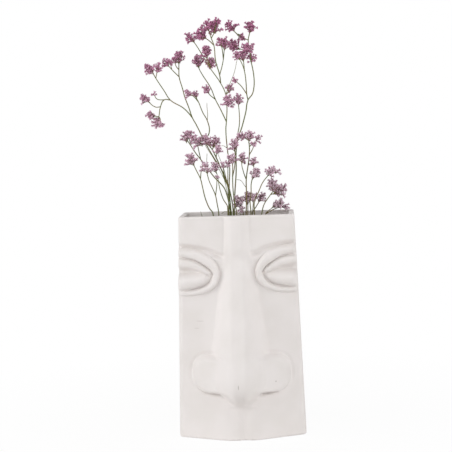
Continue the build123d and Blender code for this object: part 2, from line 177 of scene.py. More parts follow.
def floor_material():
    """Painted paper sweep: a matt pale sheet, shown near white to the camera and in mirrors."""
    material, tree, paint = new_material("paper sweep")
    paint.inputs["Base Color"].default_value = linear(FLOOR_TONE)
    paint.inputs["Roughness"].default_value = 0.9
    white = add_node(tree, "ShaderNodeEmission", values={"Strength": 1})
    place = add_node(tree, "ShaderNodeTexCoord").outputs["Object"]
    away = add_node(tree, "ShaderNodeVectorMath", {"operation": "LENGTH"}, links={0: place})
    limits = dict(zip(("From Min", "From Max", "To Min", "To Max"), FLOOR_FADE + FLOOR_LIFTS))
    share = add_node(tree, "ShaderNodeMapRange", values=limits, links={"Value": away.outputs["Value"]})
    layers = {0: share.outputs[0], 1: paint.outputs[0], 2: white.outputs[0]}
    lift = add_node(tree, "ShaderNodeMixShader", links=layers)
    layers = {0: seen_directly(tree), 1: paint.outputs[0], 2: lift.outputs[0]}
    seen = add_node(tree, "ShaderNodeMixShader", links=layers)
    tree.links.new(seen.outputs[0], tree.nodes["Material Output"].inputs["Surface"])
    return material


bpy.ops.object.select_all(action="DESELECT")
bpy.ops.mesh.primitive_plane_add(size=FLOOR_SIZE, location=(0, 0, 0))
floor = bpy.context.object
floor.name = "floor"
floor.data.materials.append(floor_material())
print("floor", FLOOR_SIZE, "m wide")

# %% Light the studio
LAMPS = (
    ("left lamp", (-2.0, -0.7, 0.8), 1.0, 18),
    ("right lamp", (2.0, -0.6, 0.6), 1.0, 13),
    ("top lamp", (0.0, -0.8, 2.0), 2.0, 11),
    ("front lamp", (0.0, -2.4, 0.8), 1.5, 12),
)
LAMP_TARGET = Vector((0, 0, 0.1))
WORLD_STRENGTH = 0.275


def add_lamp(name, place, size, power):
    bpy.ops.object.light_add(type="AREA", location=place)
    lamp = bpy.context.object
    lamp.name = name
    lamp.data.size = size
    lamp.data.energy = power
    lamp.rotation_euler = (LAMP_TARGET - Vector(place)).to_track_quat("-Z", "Y").to_euler()


def add_world():
    world = bpy.data.worlds.new("studio")
    world.use_nodes = True
    bpy.context.scene.world = world
    tree = world.node_tree
    room = tree.nodes["Background"]
    room.inputs["Color"].default_value = linear("#ffffff")
    room.inputs["Strength"].default_value = WORLD_STRENGTH
    white = add_node(tree, "ShaderNodeBackground", values={"Color": linear("#ffffff"), "Strength": 1})
    layers = {0: seen_directly(tree), 1: room.outputs[0], 2: white.outputs[0]}
    seen = add_node(tree, "ShaderNodeMixShader", links=layers)
    tree.links.new(seen.outputs[0], tree.nodes["World Output"].inputs["Surface"])


for lamp in LAMPS:
    add_lamp(*lamp)
add_world()
bpy.context.scene.view_settings.view_transform = "Standard"
print("lamps", len(LAMPS))

# %% [markdown]
# ## The vase
# The real vase is slip-cast: liquid clay dried against a plaster mould, so every wall is about as
# thick as the next, and every edge of the face is a little soft. In Blender it could be sculpted, or
# put together from blocks and beads. Here it starts as one flat sheet, which is rolled round into
# the vase's outline, over the rim and down the inside. The face is then raised on the sheet's front
# by measured strokes, which keeps the walls thin, the creases sharp and the eyes symmetrical.

# %% The sizes of the block
VASE_HEIGHT = VASE_HIGH.z - VASE_LOW.z
TOP_WIDTH = 0.130
BASE_WIDTH = 0.144
VASE_DEPTH = 0.080
BROW_REACH = 0.0025
CHIN_REACH = 0.024
BROW_STRIP = 0.012
CHIN_STRIP = 0.031
STRIP_SOFTNESS = 0.0025
CORNER_RADIUS = 0.005
INNER_CORNER_RADIUS = 0.003
RIM_ROUND = 0.0015
FOOT_ROUND = 0.002
WALL = 0.006
FLOOR_LEVEL = 0.007
NOSE_HOLLOW_SHARE = 0.8


def taper(low, high, height):
    """A size that runs evenly from the foot to the rim."""
    return low + (high - low) * height / VASE_HEIGHT


def half_width(height):
    return taper(BASE_WIDTH, TOP_WIDTH, height) / 2


def soft_max(first, second, softness):
    """The larger of two heights, with the crease between them filled over this height."""
    blend = np.maximum(softness - np.abs(first - second), 0) / softness
    return np.maximum(first, second) + blend * blend * softness / 4


def soft_min(first, second, softness):
    return -soft_max(-first, -second, softness)


def bell(distance):
    """One in the middle, dying away on both sides, for a soft stroke."""
    return np.exp(-0.5 * distance ** 2)


def block_depth(across, height):
    """How far the plain V-shaped front stands out in front of the block's corners."""
    side = half_width(height)
    strip = taper(CHIN_STRIP, BROW_STRIP, height) / 2
    reach = taper(CHIN_REACH, BROW_REACH, height)
    cheek = reach * (side - np.abs(across)) / (side - strip)
    return soft_min(cheek, reach, STRIP_SOFTNESS)


print("vase", round(VASE_HEIGHT, 3), "m tall")

# %% [markdown]
# ## The nose
# The nose and the forehead band are one long ridge with a flat crest. Its width, its crest and how
# far it stands out change with height, so they are listed at a few heights and eased in between. The
# band ends in a dip between the eyes, where the nose begins.

# %% Strokes for the nose
NOSE_RELIEF = 0.033
NOSE_WIDTH = 0.072
# Height as a share of the vase's, then half width at the cheek and on the crest as shares of the
# nose's width, and relief as a share of the nose's
NOSE_SHARES = (
    (1.060, 0.180, 0.075, 0.140),
    (0.845, 0.206, 0.081, 0.140),
    (0.812, 0.214, 0.085, 0.055),
    (0.785, 0.222, 0.088, 0.090),
    (0.750, 0.240, 0.095, 0.190),
    (0.630, 0.300, 0.120, 0.430),
    (0.500, 0.360, 0.140, 0.670),
    (0.380, 0.425, 0.150, 0.880),
    (0.290, 0.480, 0.155, 1.000),
    (0.265, 0.475, 0.153, 0.985),
    (0.240, 0.450, 0.148, 0.940),
    (0.215, 0.380, 0.135, 0.850),
    (0.192, 0.270, 0.105, 0.680),
    (0.172, 0.170, 0.070, 0.430),
    (0.155, 0.090, 0.040, 0.120),
    (0.147, 0.050, 0.020, -0.100),
    (0.000, 0.050, 0.020, -0.300),
)
EASING = 0.0035
TABLE_STEPS = 501
CREST_SOFTNESS = 0.012
CHEEK_SOFTNESS = 0.008
BAND_SOFTNESS = 0.0012
LEAST_STEEPNESS = 0.5
LEAST_RELIEF = 0.12


def eased(column):
    """Heights in close steps from the foot to the rim, and this column of the nose at each."""
    heights = np.linspace(0, VASE_HEIGHT, TABLE_STEPS)
    step = heights[1]
    reach = int(3 * EASING / step)
    spread = bell(np.arange(-reach, reach + 1) * step / EASING)
    places = [row[0] * VASE_HEIGHT for row in reversed(NOSE_SHARES)]
    values = [row[column] for row in reversed(NOSE_SHARES)]
    wider = np.linspace(-reach * step, VASE_HEIGHT + reach * step, TABLE_STEPS + 2 * reach)
    padded = np.interp(wider, places, values)
    return heights, np.convolve(padded, spread / spread.sum(), mode="valid")


NOSE_TABLES = [eased(column) for column in (1, 2, 3)]


def nose_height(across, height):
    """Height of the nose above the plain front, below zero where there is none."""
    foot, crest, relief = (np.interp(height, *table) for table in NOSE_TABLES)
    foot = foot * NOSE_WIDTH
    crest = crest * NOSE_WIDTH
    top = block_depth(0, height) + relief * NOSE_RELIEF
    cheek = block_depth(foot, height)
    steepness = max((top - cheek) / (foot - crest), LEAST_STEEPNESS)
    flank = top - steepness * (np.abs(across) - crest)
    softness = np.clip(relief, LEAST_RELIEF, 1) * CREST_SOFTNESS
    ridge = soft_min(np.full_like(flank, top), flank, softness)
    return ridge - block_depth(across, height)


print("nose stands out", NOSE_RELIEF, "m")

# %% [markdown]
# ## The wings of the nose
# Each wing is a pillow on the cheek: a round outer end, a level upper edge with a fine crease above
# it, and a lower edge that drops steeply, so that it throws the dark line of a nostril. A quarter
# circle, stretched, gives the pillow its edge.

# %% Strokes for the wings
WING_HEIGHT = 0.0738
WING_RADIUS = 0.0215
WING_CENTRE = 0.0335
WING_SHIFT = 0.0011
WING_RELIEF = 0.0135
WING_LEAN = 0.28
WING_ROUND = 0.0065
WING_SQUARENESS = 2.5
WING_CREASE = 0.0008
WING_SOFTNESS = 0.013
WING_DROP = 4
# Depth and spread of the crease round a wing's top and outer end, how far out it begins, and the
# heights between which it does
WING_EDGE = (0.0010, 0.0014)
WING_EDGE_START = (0.024, 0.032)
WING_EDGE_HEIGHTS = (0.056, 0.066)
WING_HEEL = 0.012


def wing_inside(across, height):
    """How far each place is inside a wing's outline, below zero outside it."""
    beyond = np.maximum(np.abs(across - WING_SHIFT) - WING_CENTRE, 0)
    gap = (beyond ** WING_SQUARENESS + abs(height - WING_HEIGHT) ** WING_SQUARENESS) ** (1 / WING_SQUARENESS)
    return WING_RADIUS - gap


def wing_height(across, height):
    out = np.abs(across - WING_SHIFT) - WING_CENTRE
    inside = wing_inside(across, height)
    edge = 1 - np.clip(inside / WING_ROUND, 0, 1)
    pillow = (WING_RELIEF - WING_LEAN * np.maximum(out, -WING_HEEL)) * np.sqrt(1 - edge * edge)
    return np.where(inside > 0, pillow, inside * WING_DROP)


print("wings", 2 * round(WING_CENTRE + WING_RADIUS, 3), "m across")

# %% [markdown]
# ## The eyes
# An eye is two soft beads and a ball. The beads, its ring and its lid, follow curved lines over the
# cheek, and swell and thin along them. The eyes run off the vase's sides, so every point of them is
# measured from the side: inwards as a share of the eye's length, and up as a share of its opening.

# %% Strokes for the eyes
EYE_LENGTH = 0.048
EYE_OPENING = 0.055
EYE_HEIGHT = 0.1885
RIGHT_EYE_LIFT = 0.0015
EYE_SIDE = half_width(EYE_HEIGHT)
LINE_STEPS = 24
# Points of each line: share of the eye's length in from the side, share of its opening up from its
# middle, and half the bead's width as a share of the opening, or how strong a hollow is
RING_SHARES = (
    (-0.15, 0.405, 0.092), (0.01, 0.402, 0.094), (0.394, 0.345, 0.102), (0.613, 0.250, 0.102),
    (0.79, 0.130, 0.093), (0.88, 0, 0.082), (0.894, -0.078, 0.080), (0.838, -0.218, 0.078),
    (0.692, -0.336, 0.069), (0.463, -0.409, 0.062), (0.20, -0.436, 0.062), (0, -0.425, 0.058),
    (-0.15, -0.410, 0.055),
)
LID_SHARES = (
    (-0.15, 0.175, 0.100), (0.01, 0.172, 0.100), (0.346, 0.133, 0.095), (0.51, 0.073, 0.085),
    (0.64, 0.018, 0.065), (0.74, -0.030, 0.045),
)
CREASE_SHARES = (
    (-0.15, 0.290, 0.6), (0.007, 0.288, 0.6), (0.223, 0.269, 0.7), (0.411, 0.209, 0.8), (0.598, 0.118, 0.9),
    (0.744, 0.027, 1), (0.803, -0.066, 1.1), (0.744, -0.182, 1.2), (0.598, -0.291, 1.1), (0.411, -0.355, 1),
    (0.150, -0.373, 1), (-0.15, -0.350, 1),
)
SOCKET_SHARES = (
    (0.52, 0.430, 0), (0.70, 0.315, 0.6), (0.842, 0.218, 1), (0.958, 0.055, 1), (0.985, -0.091, 0.9),
    (0.935, -0.264, 0.5), (0.79, -0.390, 0),
)
BROW_SHARES = (
    (-0.15, 0.505, 1), (0.02, 0.500, 1), (0.43, 0.465, 0.9), (0.77, 0.390, 0.8), (0.93, 0.325, 0.8),
    (1.03, 0.300, 0.6), (1.12, 0.290, 0),
)
HOLLOW_SHARES = (
    (-0.15, -0.02, 1), (0.01, -0.02, 1), (0.25, -0.035, 0.9), (0.44, -0.06, 0.6), (0.62, -0.1, 0),
)


def smooth_line(points):
    """Close points of a smooth line through these, with the third value along it."""
    ends = np.vstack([2 * points[0] - points[1], points, 2 * points[-1] - points[-2]])
    line = []
    for before, start, end, after in zip(ends, ends[1:], ends[2:], ends[3:]):
        for t in np.linspace(0, 1, LINE_STEPS, endpoint=False):
            line.append(0.5 * (
                2 * start + (end - before) * t
                + (2 * before - 5 * start + 4 * end - after) * t * t
                + (3 * start - before - 3 * end + after) * t ** 3
            ))
    return np.array(line + [points[-1]])


def eye_line(shares):
    return smooth_line(np.array([
        (EYE_SIDE - across * EYE_LENGTH, EYE_HEIGHT + up * EYE_OPENING, value) for across, up, value in shares
    ]))


def away_from(line, across, height, right_lift=RIGHT_EYE_LIFT):
    """Distance of each place from the line, and the line's third value at the nearest point."""
    lifted = height - right_lift * (across > 0)
    gaps = np.hypot(np.abs(across)[:, None] - line[:, 0], lifted[:, None] - line[:, 1])
    nearest = gaps.argmin(axis=1)
    return gaps[np.arange(len(across)), nearest], line[nearest, 2]


print("eye from the side inwards", EYE_LENGTH, "m")

# %% Beads and hollows along a line
BALL_LENGTH = 0.035
BALL_OPENING = 0.0195
BALL_RELIEF = 0.0095
BALL_SOFTNESS = 0.005
# How far below the eye's middle the ball lies at the side, and how it rises towards the nose
BALL_DROP = 0.0125
BALL_TILT = 0.15
BEAD_SOFTNESS = 0.0005
BEAD_DROP = 1.5
WIDEST_SHARE = 0.102
LEAST_SHARE = 0.01
# Depth and spread of each hollow
CREASE = (0.0012, 0.0008)
SOCKET = (0.0012, 0.0009)
BROW = (0.0052, 0.0021)
LID_HOLLOW = (0.0058, 0.0032)
# The ring and the lid, with their relief
BEADS = ((eye_line(RING_SHARES), 0.0052), (eye_line(LID_SHARES), 0.0048))
HOLLOWS = [(eye_line(shares), size) for shares, size in (
    (CREASE_SHARES, CREASE), (SOCKET_SHARES, SOCKET), (BROW_SHARES, BROW), (HOLLOW_SHARES, LID_HOLLOW),
)]


def bead_height(line, relief, across, height):
    """A pillow-edged bead along the line, lower where it is narrow."""
    gap, share = away_from(line, across, height)
    half = np.maximum(share, LEAST_SHARE) * EYE_OPENING
    crown = relief * (share / WIDEST_SHARE) ** 0.5 * np.sqrt(np.maximum(1 - (gap / half) ** 2, 0))
    return np.where(gap < half, crown, (half - gap) * BEAD_DROP)


def ball_height(across, height):
    """The eyeball: the inner half of a long egg that runs off the vase's side."""
    inwards = EYE_SIDE - np.abs(across)
    lifted = height - RIGHT_EYE_LIFT * (across > 0) - EYE_HEIGHT + BALL_DROP - BALL_TILT * inwards
    share = (inwards / BALL_LENGTH) ** 2 + (lifted / BALL_OPENING * 2) ** 2
    return np.where(share < 1, BALL_RELIEF * np.sqrt(np.maximum(1 - share, 0)), (1 - share) * BALL_RELIEF)


def hollow_height(line, size, across, height):
    gap, strength = away_from(line, across, height)
    return strength * size[0] * bell(gap / size[1])


print("beads", len(BEADS), "hollows", len(HOLLOWS))

# %% [markdown]
# ## The whole front
# The strokes are laid on in the order a modeller would use: first what stands out, the nose, its
# wings and the eyes, then the hollows, and last the groove and the fine creases. Each joins what is
# there with its own softness, so the nose flows into its wings, while the eye's beads keep a crease
# between them.

# %% Strokes for the groove and the fine creases
# The groove's depth, the spread of its left and its right wall, how far to the right it lies, and
# the heights between which it runs out
GROOVE_DEPTH = 0.0017
GROOVE_SPREADS = (0.0026, 0.0052)
GROOVE_SHIFT = 0.0022
GROOVE_END = (0.040, 0.052)
# Depth and spread of the crease beside the band, and the heights between which it begins
BAND_CREASE = (0.0005, 0.0011)
BAND_START = (0.204, 0.208)
# Points of the line under a wing: across as a share of the nose's width, up as a share of the wing's
# height, and how deep it is there
NOSTRIL_SHARES = (
    (0.265, 0.655, 0), (0.320, 0.690, 0.8), (0.375, 0.702, 1), (0.450, 0.704, 1), (0.540, 0.708, 0.6),
    (0.640, 0.730, 0),
)
NOSTRIL_LINE = smooth_line(np.array(NOSTRIL_SHARES) * (NOSE_WIDTH, WING_HEIGHT, 1))
# On the left and on the right
NOSTRIL_DEPTHS = (0.0034, 0.0056)
NOSTRIL_SHIFTS = (0, -0.0035)
NOSTRIL_SPREAD = 0.0014


def fade(value, low, high):
    """Nothing below low, one above high, and an even ease between."""
    share = np.clip((value - low) / (high - low), 0, 1)
    return share * share * (3 - 2 * share)


def lip_groove(across, height):
    """The groove from the nose's tip to the foot."""
    beside = across - GROOVE_SHIFT
    shape = bell(beside / np.where(beside < 0, *GROOVE_SPREADS))
    return GROOVE_DEPTH * shape * (1 - fade(height, *GROOVE_END))


def band_crease(across, height):
    """The fine line where the forehead band meets the brow."""
    foot = np.interp(height, *NOSE_TABLES[0]) * NOSE_WIDTH
    return BAND_CREASE[0] * bell((np.abs(across) - foot) / BAND_CREASE[1]) * fade(height, *BAND_START)


def wing_edge(across, height):
    """The crease where the wing's top and outer end meet the cheek."""
    shape = bell(wing_inside(across, height) / WING_EDGE[1] + 1)
    start = fade(np.abs(across - WING_SHIFT), *WING_EDGE_START)
    return WING_EDGE[0] * shape * start * fade(height, *WING_EDGE_HEIGHTS)


def nostril(across, height):
    """The dark line pressed in under each wing, deeper on the right."""
    left = across < 0
    shift = WING_SHIFT + np.where(left, *NOSTRIL_SHIFTS)
    gap, strength = away_from(NOSTRIL_LINE, across - shift, height, 0)
    return np.where(left, *NOSTRIL_DEPTHS) * strength * bell(gap / NOSTRIL_SPREAD)


print("line under each wing", len(NOSTRIL_LINE), "points")

# %% Put the strokes together
def face_height(across, height):
    """Height of the face above the plain front."""
    foot_blend = taper(CHEEK_SOFTNESS, BAND_SOFTNESS, height)
    face = soft_max(nose_height(across, height), 0, foot_blend)
    wing_blend = WING_CREASE + (WING_SOFTNESS - WING_CREASE) * fade(face, 0, WING_RELIEF)
    face = soft_max(face, wing_height(across, height), wing_blend)
    for bead in BEADS:
        face = soft_max(face, bead_height(*bead, across, height), BEAD_SOFTNESS)
    face = soft_max(face, ball_height(across, height), BALL_SOFTNESS)
    for hollow in HOLLOWS:
        face = face - hollow_height(*hollow, across, height)
    for stroke in (lip_groove, band_crease, wing_edge, nostril):
        face = face - stroke(across, height)
    return face


def front_depth(across, height):
    return block_depth(across, height) + face_height(across, height)


def hollow_depth(across, height):
    """The inside of the front. The hollow goes some way into the nose, as the slip leaves it."""
    nose = np.maximum(nose_height(across, height), wing_height(across, height))
    return block_depth(across, height) + NOSE_HOLLOW_SHARE * np.maximum(nose - WALL, 0)


TIP_HEIGHT = VASE_HEIGHT * max(NOSE_SHARES, key=lambda row: row[3])[0]
print("nose", round(front_depth(np.zeros(1), TIP_HEIGHT)[0], 4), "m in front of the corners")

# %% [markdown]
# ## Rolling the sheet
# One level loop of the vase is its front, two rounded corners, the sides and the back. Every row of
# the sheet becomes such a loop: up the outside, over the rounded rim, and down the inside to the
# floor. The two ends are closed by one face each, for the foot and for the floor inside.

# %% One level loop of the wall
FRONT_COLUMNS = 188
CORNER_COLUMNS = 5
SIDE_COLUMNS = 7
BACK_COLUMNS = 8


def level_loop(height, inset, radius, depth):
    """One loop of the vase's wall, drawn in by inset, from the middle of the back round to it again."""
    side = half_width(height) - inset
    back = VASE_DEPTH / 2 - inset
    turn = np.linspace(0, math.pi / 2, CORNER_COLUMNS + 1)
    half_back = np.linspace(0, side - radius, BACK_COLUMNS // 2 + 1)
    corner_x = side - radius + radius * np.sin(turn)
    front_x = np.linspace(side - radius, radius - side, FRONT_COLUMNS + 1)
    reach_x = np.concatenate([corner_x[::-1], front_x[1:-1], -corner_x])
    reach_y = inset - VASE_DEPTH / 2 - depth(reach_x, height)
    drop = np.maximum(np.abs(reach_x) - (side - radius), 0)
    reach_y += radius - np.sqrt(np.maximum(radius ** 2 - drop ** 2, 0))
    back_y = back - radius + radius * np.cos(turn)
    right_side = np.linspace(back_y[-1], reach_y[0], SIDE_COLUMNS + 2)[1:-1]
    left_side = np.linspace(reach_y[-1], back_y[-1], SIDE_COLUMNS + 2)[1:-1]
    xs = [half_back[:-1], corner_x, np.full(SIDE_COLUMNS, side), reach_x]
    ys = [np.full(BACK_COLUMNS // 2, back), back_y, right_side, reach_y]
    xs += [np.full(SIDE_COLUMNS, -side), -corner_x[::-1], -half_back[:-1][::-1]]
    ys += [left_side, back_y[::-1], np.full(BACK_COLUMNS // 2, back)]
    return np.column_stack([np.concatenate(xs), np.concatenate(ys), np.full(sum(map(len, xs)), height)])


print("points in one loop", len(level_loop(TIP_HEIGHT, 0, CORNER_RADIUS, front_depth)))

# %% Roll the sheet into the vase
OUTER_ROWS = 300
INNER_ROWS = 34
ROUND_ROWS = 4
SAME_PLACE = 1e-7
SAME_HEIGHT = 1e-6
SHARP_ANGLE = math.radians(50)


def all_loops():
    """Every loop from the foot, up the outside, over the rim and down to the floor inside."""
    angles = np.linspace(0, math.pi / 2, ROUND_ROWS + 1)
    quarter = [(1 - math.cos(angle), 1 - math.sin(angle)) for angle in angles]
    shoulder = VASE_HEIGHT - RIM_ROUND
    outside = [(FOOT_ROUND * up, FOOT_ROUND * inset) for up, inset in quarter[:-1]]
    outside += [(height, 0) for height in np.linspace(FOOT_ROUND, shoulder, OUTER_ROWS)]
    outside += [(VASE_HEIGHT - RIM_ROUND * down, RIM_ROUND * inset) for inset, down in quarter[1:]]
    inside = [(VASE_HEIGHT - RIM_ROUND * down, WALL - RIM_ROUND * inset) for inset, down in quarter[::-1]]
    inside += [(height, WALL) for height in np.linspace(shoulder, FLOOR_LEVEL, INNER_ROWS)[1:]]
    loops = [level_loop(height, inset, CORNER_RADIUS - inset, front_depth) for height, inset in outside]
    loops += [level_loop(height, inset, INNER_CORNER_RADIUS, hollow_depth) for height, inset in inside]
    return np.array(loops)


def roll_vase():
    loops = all_loops()
    rows, columns = loops.shape[:2]
    bpy.ops.object.select_all(action="DESELECT")
    bpy.ops.mesh.primitive_grid_add(x_subdivisions=columns - 1, y_subdivisions=rows - 1, size=1)
    vase = bpy.context.object
    vase.name = "vase_shell"
    mesh = vase.data
    flat = np.empty(len(mesh.vertices) * 3)
    mesh.vertices.foreach_get("co", flat)
    flat = flat.reshape(-1, 3) + 0.5
    column = np.rint(flat[:, 0] * (columns - 1)).astype(int)
    row = np.rint(flat[:, 1] * (rows - 1)).astype(int)
    mesh.vertices.foreach_set("co", loops[row, column].ravel())
    mesh.update()
    return vase


def close_vase(vase):
    bpy.ops.object.mode_set(mode="EDIT")
    bpy.ops.mesh.select_all(action="SELECT")
    bpy.ops.mesh.remove_doubles(threshold=SAME_PLACE)
    bpy.ops.mesh.select_mode(type="EDGE")
    for height in (0, FLOOR_LEVEL):
        bpy.ops.mesh.select_all(action="DESELECT")
        bpy.ops.mesh.select_non_manifold(extend=False, use_multi_face=False, use_non_contiguous=False)
        bpy.ops.object.mode_set(mode="OBJECT")
        for edge in vase.data.edges:
            level = all(abs(vase.data.vertices[v].co.z - height) < SAME_HEIGHT for v in edge.vertices)
            edge.select = edge.select and level
        bpy.ops.object.mode_set(mode="EDIT")
        bpy.ops.mesh.edge_face_add()
    bpy.ops.mesh.select_all(action="SELECT")
    bpy.ops.mesh.normals_make_consistent(inside=False)
    bpy.ops.object.mode_set(mode="OBJECT")
    bpy.ops.object.shade_smooth_by_angle(angle=SHARP_ANGLE)


vase = roll_vase()
close_vase(vase)
print("vase", len(vase.data.vertices), "points")

# %% [markdown]
# ## Bisque
# The vase is unglazed porcelain, fired once and sponged smooth before firing. The bare clay scatters
# light, so it looks matt and warm white, with hardly any highlight. What makes it real is faint: clouds
# of slightly different white from the drying slip, a fine tooth where the sponge raised the grain, a
# pinhole from an air bubble, a nick at the tip, and scratches under one eye. These marks are pressed
# in, and painted darker as painted shade inside them.

# %% Draw the marks in the clay
# The pinhole, the nick and two scratches: place across and up, half width and half height
MARKS = (
    (0.0393, 0.0662, 0.0010, 0.0010),
    (-0.0014, 0.0657, 0.0006, 0.0036),
    (-0.0440, 0.1330, 0.0055, 0.0003),
    (-0.0480, 0.1250, 0.0040, 0.0003),
)
# Marks show only in front of this line
MARKS_LINE = -0.036


def mark_mask(tree, place, across, up, half_across, half_up):
    """One where the mark is, fading to nothing at its edge."""
    centred = add_node(
        tree, "ShaderNodeMapping", {"vector_type": "POINT"},
        {
            "Location": (-across / half_across, 0, -up / half_up),
            "Scale": (1 / half_across, 0, 1 / half_up),
        },
        {"Vector": place},
    )
    gap = add_node(tree, "ShaderNodeVectorMath", {"operation": "LENGTH"}, links={0: centred.outputs[0]})
    mask = add_node(
        tree, "ShaderNodeMapRange", {"interpolation_type": "SMOOTHSTEP"},
        {"From Min": 0.4, "From Max": 1.0, "To Min": 1.0, "To Max": 0.0}, {"Value": gap.outputs["Value"]},
    )
    return mask.outputs[0]


print("marks", len(MARKS))

# %% Make the bisque and give it to the vase
CLAY = "#ebe6e4"
CLAY_CLOUD = "#e7e2df"
# Painted shade: the darker tone laid into the pinhole, the nick and the scratches
PIT_SHADE_TONE = "#c4bdb9"
CLOUD_SIZE = 0.035
# Size, strength and depth of what the sponge left, and of the tooth, which is drawn several times
# as coarse as the real one, so that it shows
GRAINS = ((0.006, 0.5, 0.00012), (0.0009, 0.6, 0.00006))
PIT_DEPTH = 0.0009
def bisque_material():
    """Once-fired white clay: matt, faintly clouded, with a fine tooth."""
    material, tree, clay = new_material("white bisque")
    clay.inputs["Roughness"].default_value = 0.72
    clay.inputs["IOR"].default_value = 1.5
    clay.inputs["Specular IOR Level"].default_value = 0.35
    place = add_node(tree, "ShaderNodeTexCoord").outputs["Object"]
    cloud = add_node(
        tree, "ShaderNodeTexNoise", values={"Scale": 1 / CLOUD_SIZE, "Detail": 3}, links={"Vector": place}
    )
    cloud_share = add_node(
        tree, "ShaderNodeMapRange", values={"From Min": 0.4, "From Max": 0.65},
        links={"Value": cloud.outputs["Fac"]},
    )
    tint = add_node(
        tree, "ShaderNodeMix", {"data_type": "RGBA"}, {6: linear(CLAY), 7: linear(CLAY_CLOUD)},
        {0: cloud_share.outputs[0]},
    )
    marked, *others = [mark_mask(tree, place, *mark) for mark in MARKS]
    for mask in others:
        either = add_node(tree, "ShaderNodeMath", {"operation": "MAXIMUM"}, links={0: marked, 1: mask})
        marked = either.outputs[0]
    front = add_node(tree, "ShaderNodeSeparateXYZ", links={"Vector": place})
    facing = add_node(
        tree, "ShaderNodeMath", {"operation": "LESS_THAN"}, {1: MARKS_LINE}, {0: front.outputs["Y"]}
    )
    marked = add_node(
        tree, "ShaderNodeMath", {"operation": "MULTIPLY"}, links={0: marked, 1: facing.outputs[0]}
    ).outputs[0]
    # Painted shade in the marks: the clay tone is darkened where they are pressed in
    pit_shade = add_node(
        tree, "ShaderNodeMix", {"data_type": "RGBA"}, {7: linear(PIT_SHADE_TONE)}, {0: marked, 6: tint.outputs[2]}
    )
    tree.links.new(pit_shade.outputs[2], clay.inputs["Base Color"])
    bumps = []
    for size, strength, depth in GRAINS:
        grain = add_node(
            tree, "ShaderNodeTexNoise", values={"Scale": 1 / size, "Detail": 2}, links={"Vector": place}
        )
        bumps.append(add_node(
            tree, "ShaderNodeBump", values={"Strength": strength, "Distance": depth},
            links={"Height": grain.outputs["Fac"]},
        ))
    bumps.append(add_node(
        tree, "ShaderNodeBump", {"invert": True}, {"Strength": 0.3, "Distance": PIT_DEPTH},
        {"Height": marked},
    ))
    for lower, upper in zip(bumps, bumps[1:]):
        tree.links.new(lower.outputs[0], upper.inputs["Normal"])
    tree.links.new(bumps[-1].outputs[0], clay.inputs["Normal"])
    return material


bisque = bisque_material()
finish_piece(vase, bisque, "vase", "bisque", "vase_body")

# %% [markdown]
# ## The sprays, as a drawing
# A spray of sea lavender is one wiry stem that forks again and again, each time thinner. Ten of them
# stand loosely in the vase. Such a plant could be grown by a random rule, but this one has to match
# a photograph, so it is drawn: each limb is a row of points, as shares of one reach from the middle
# of the bunch at the rim. The CAD stems follow the same routes, so the finer stems lie inside them.

# %% Where the bunch stands
BUNCH_REACH = 0.115
REAR_SHARE = 0.13
REAR_GAP = 0.00105
BUNCH_Y = VASE_HIGH.y - WALL - REAR_GAP - REAR_SHARE * BUNCH_REACH
BUNCH_LEAN = math.radians(1.9)
FOOT_GAP = 0.0003
GATHER_SHARE = 0.6
FORK_SHARE = 0.7
BOW = 0.003
print("bunch", round(BUNCH_Y * 1000, 1), "mm behind the middle")

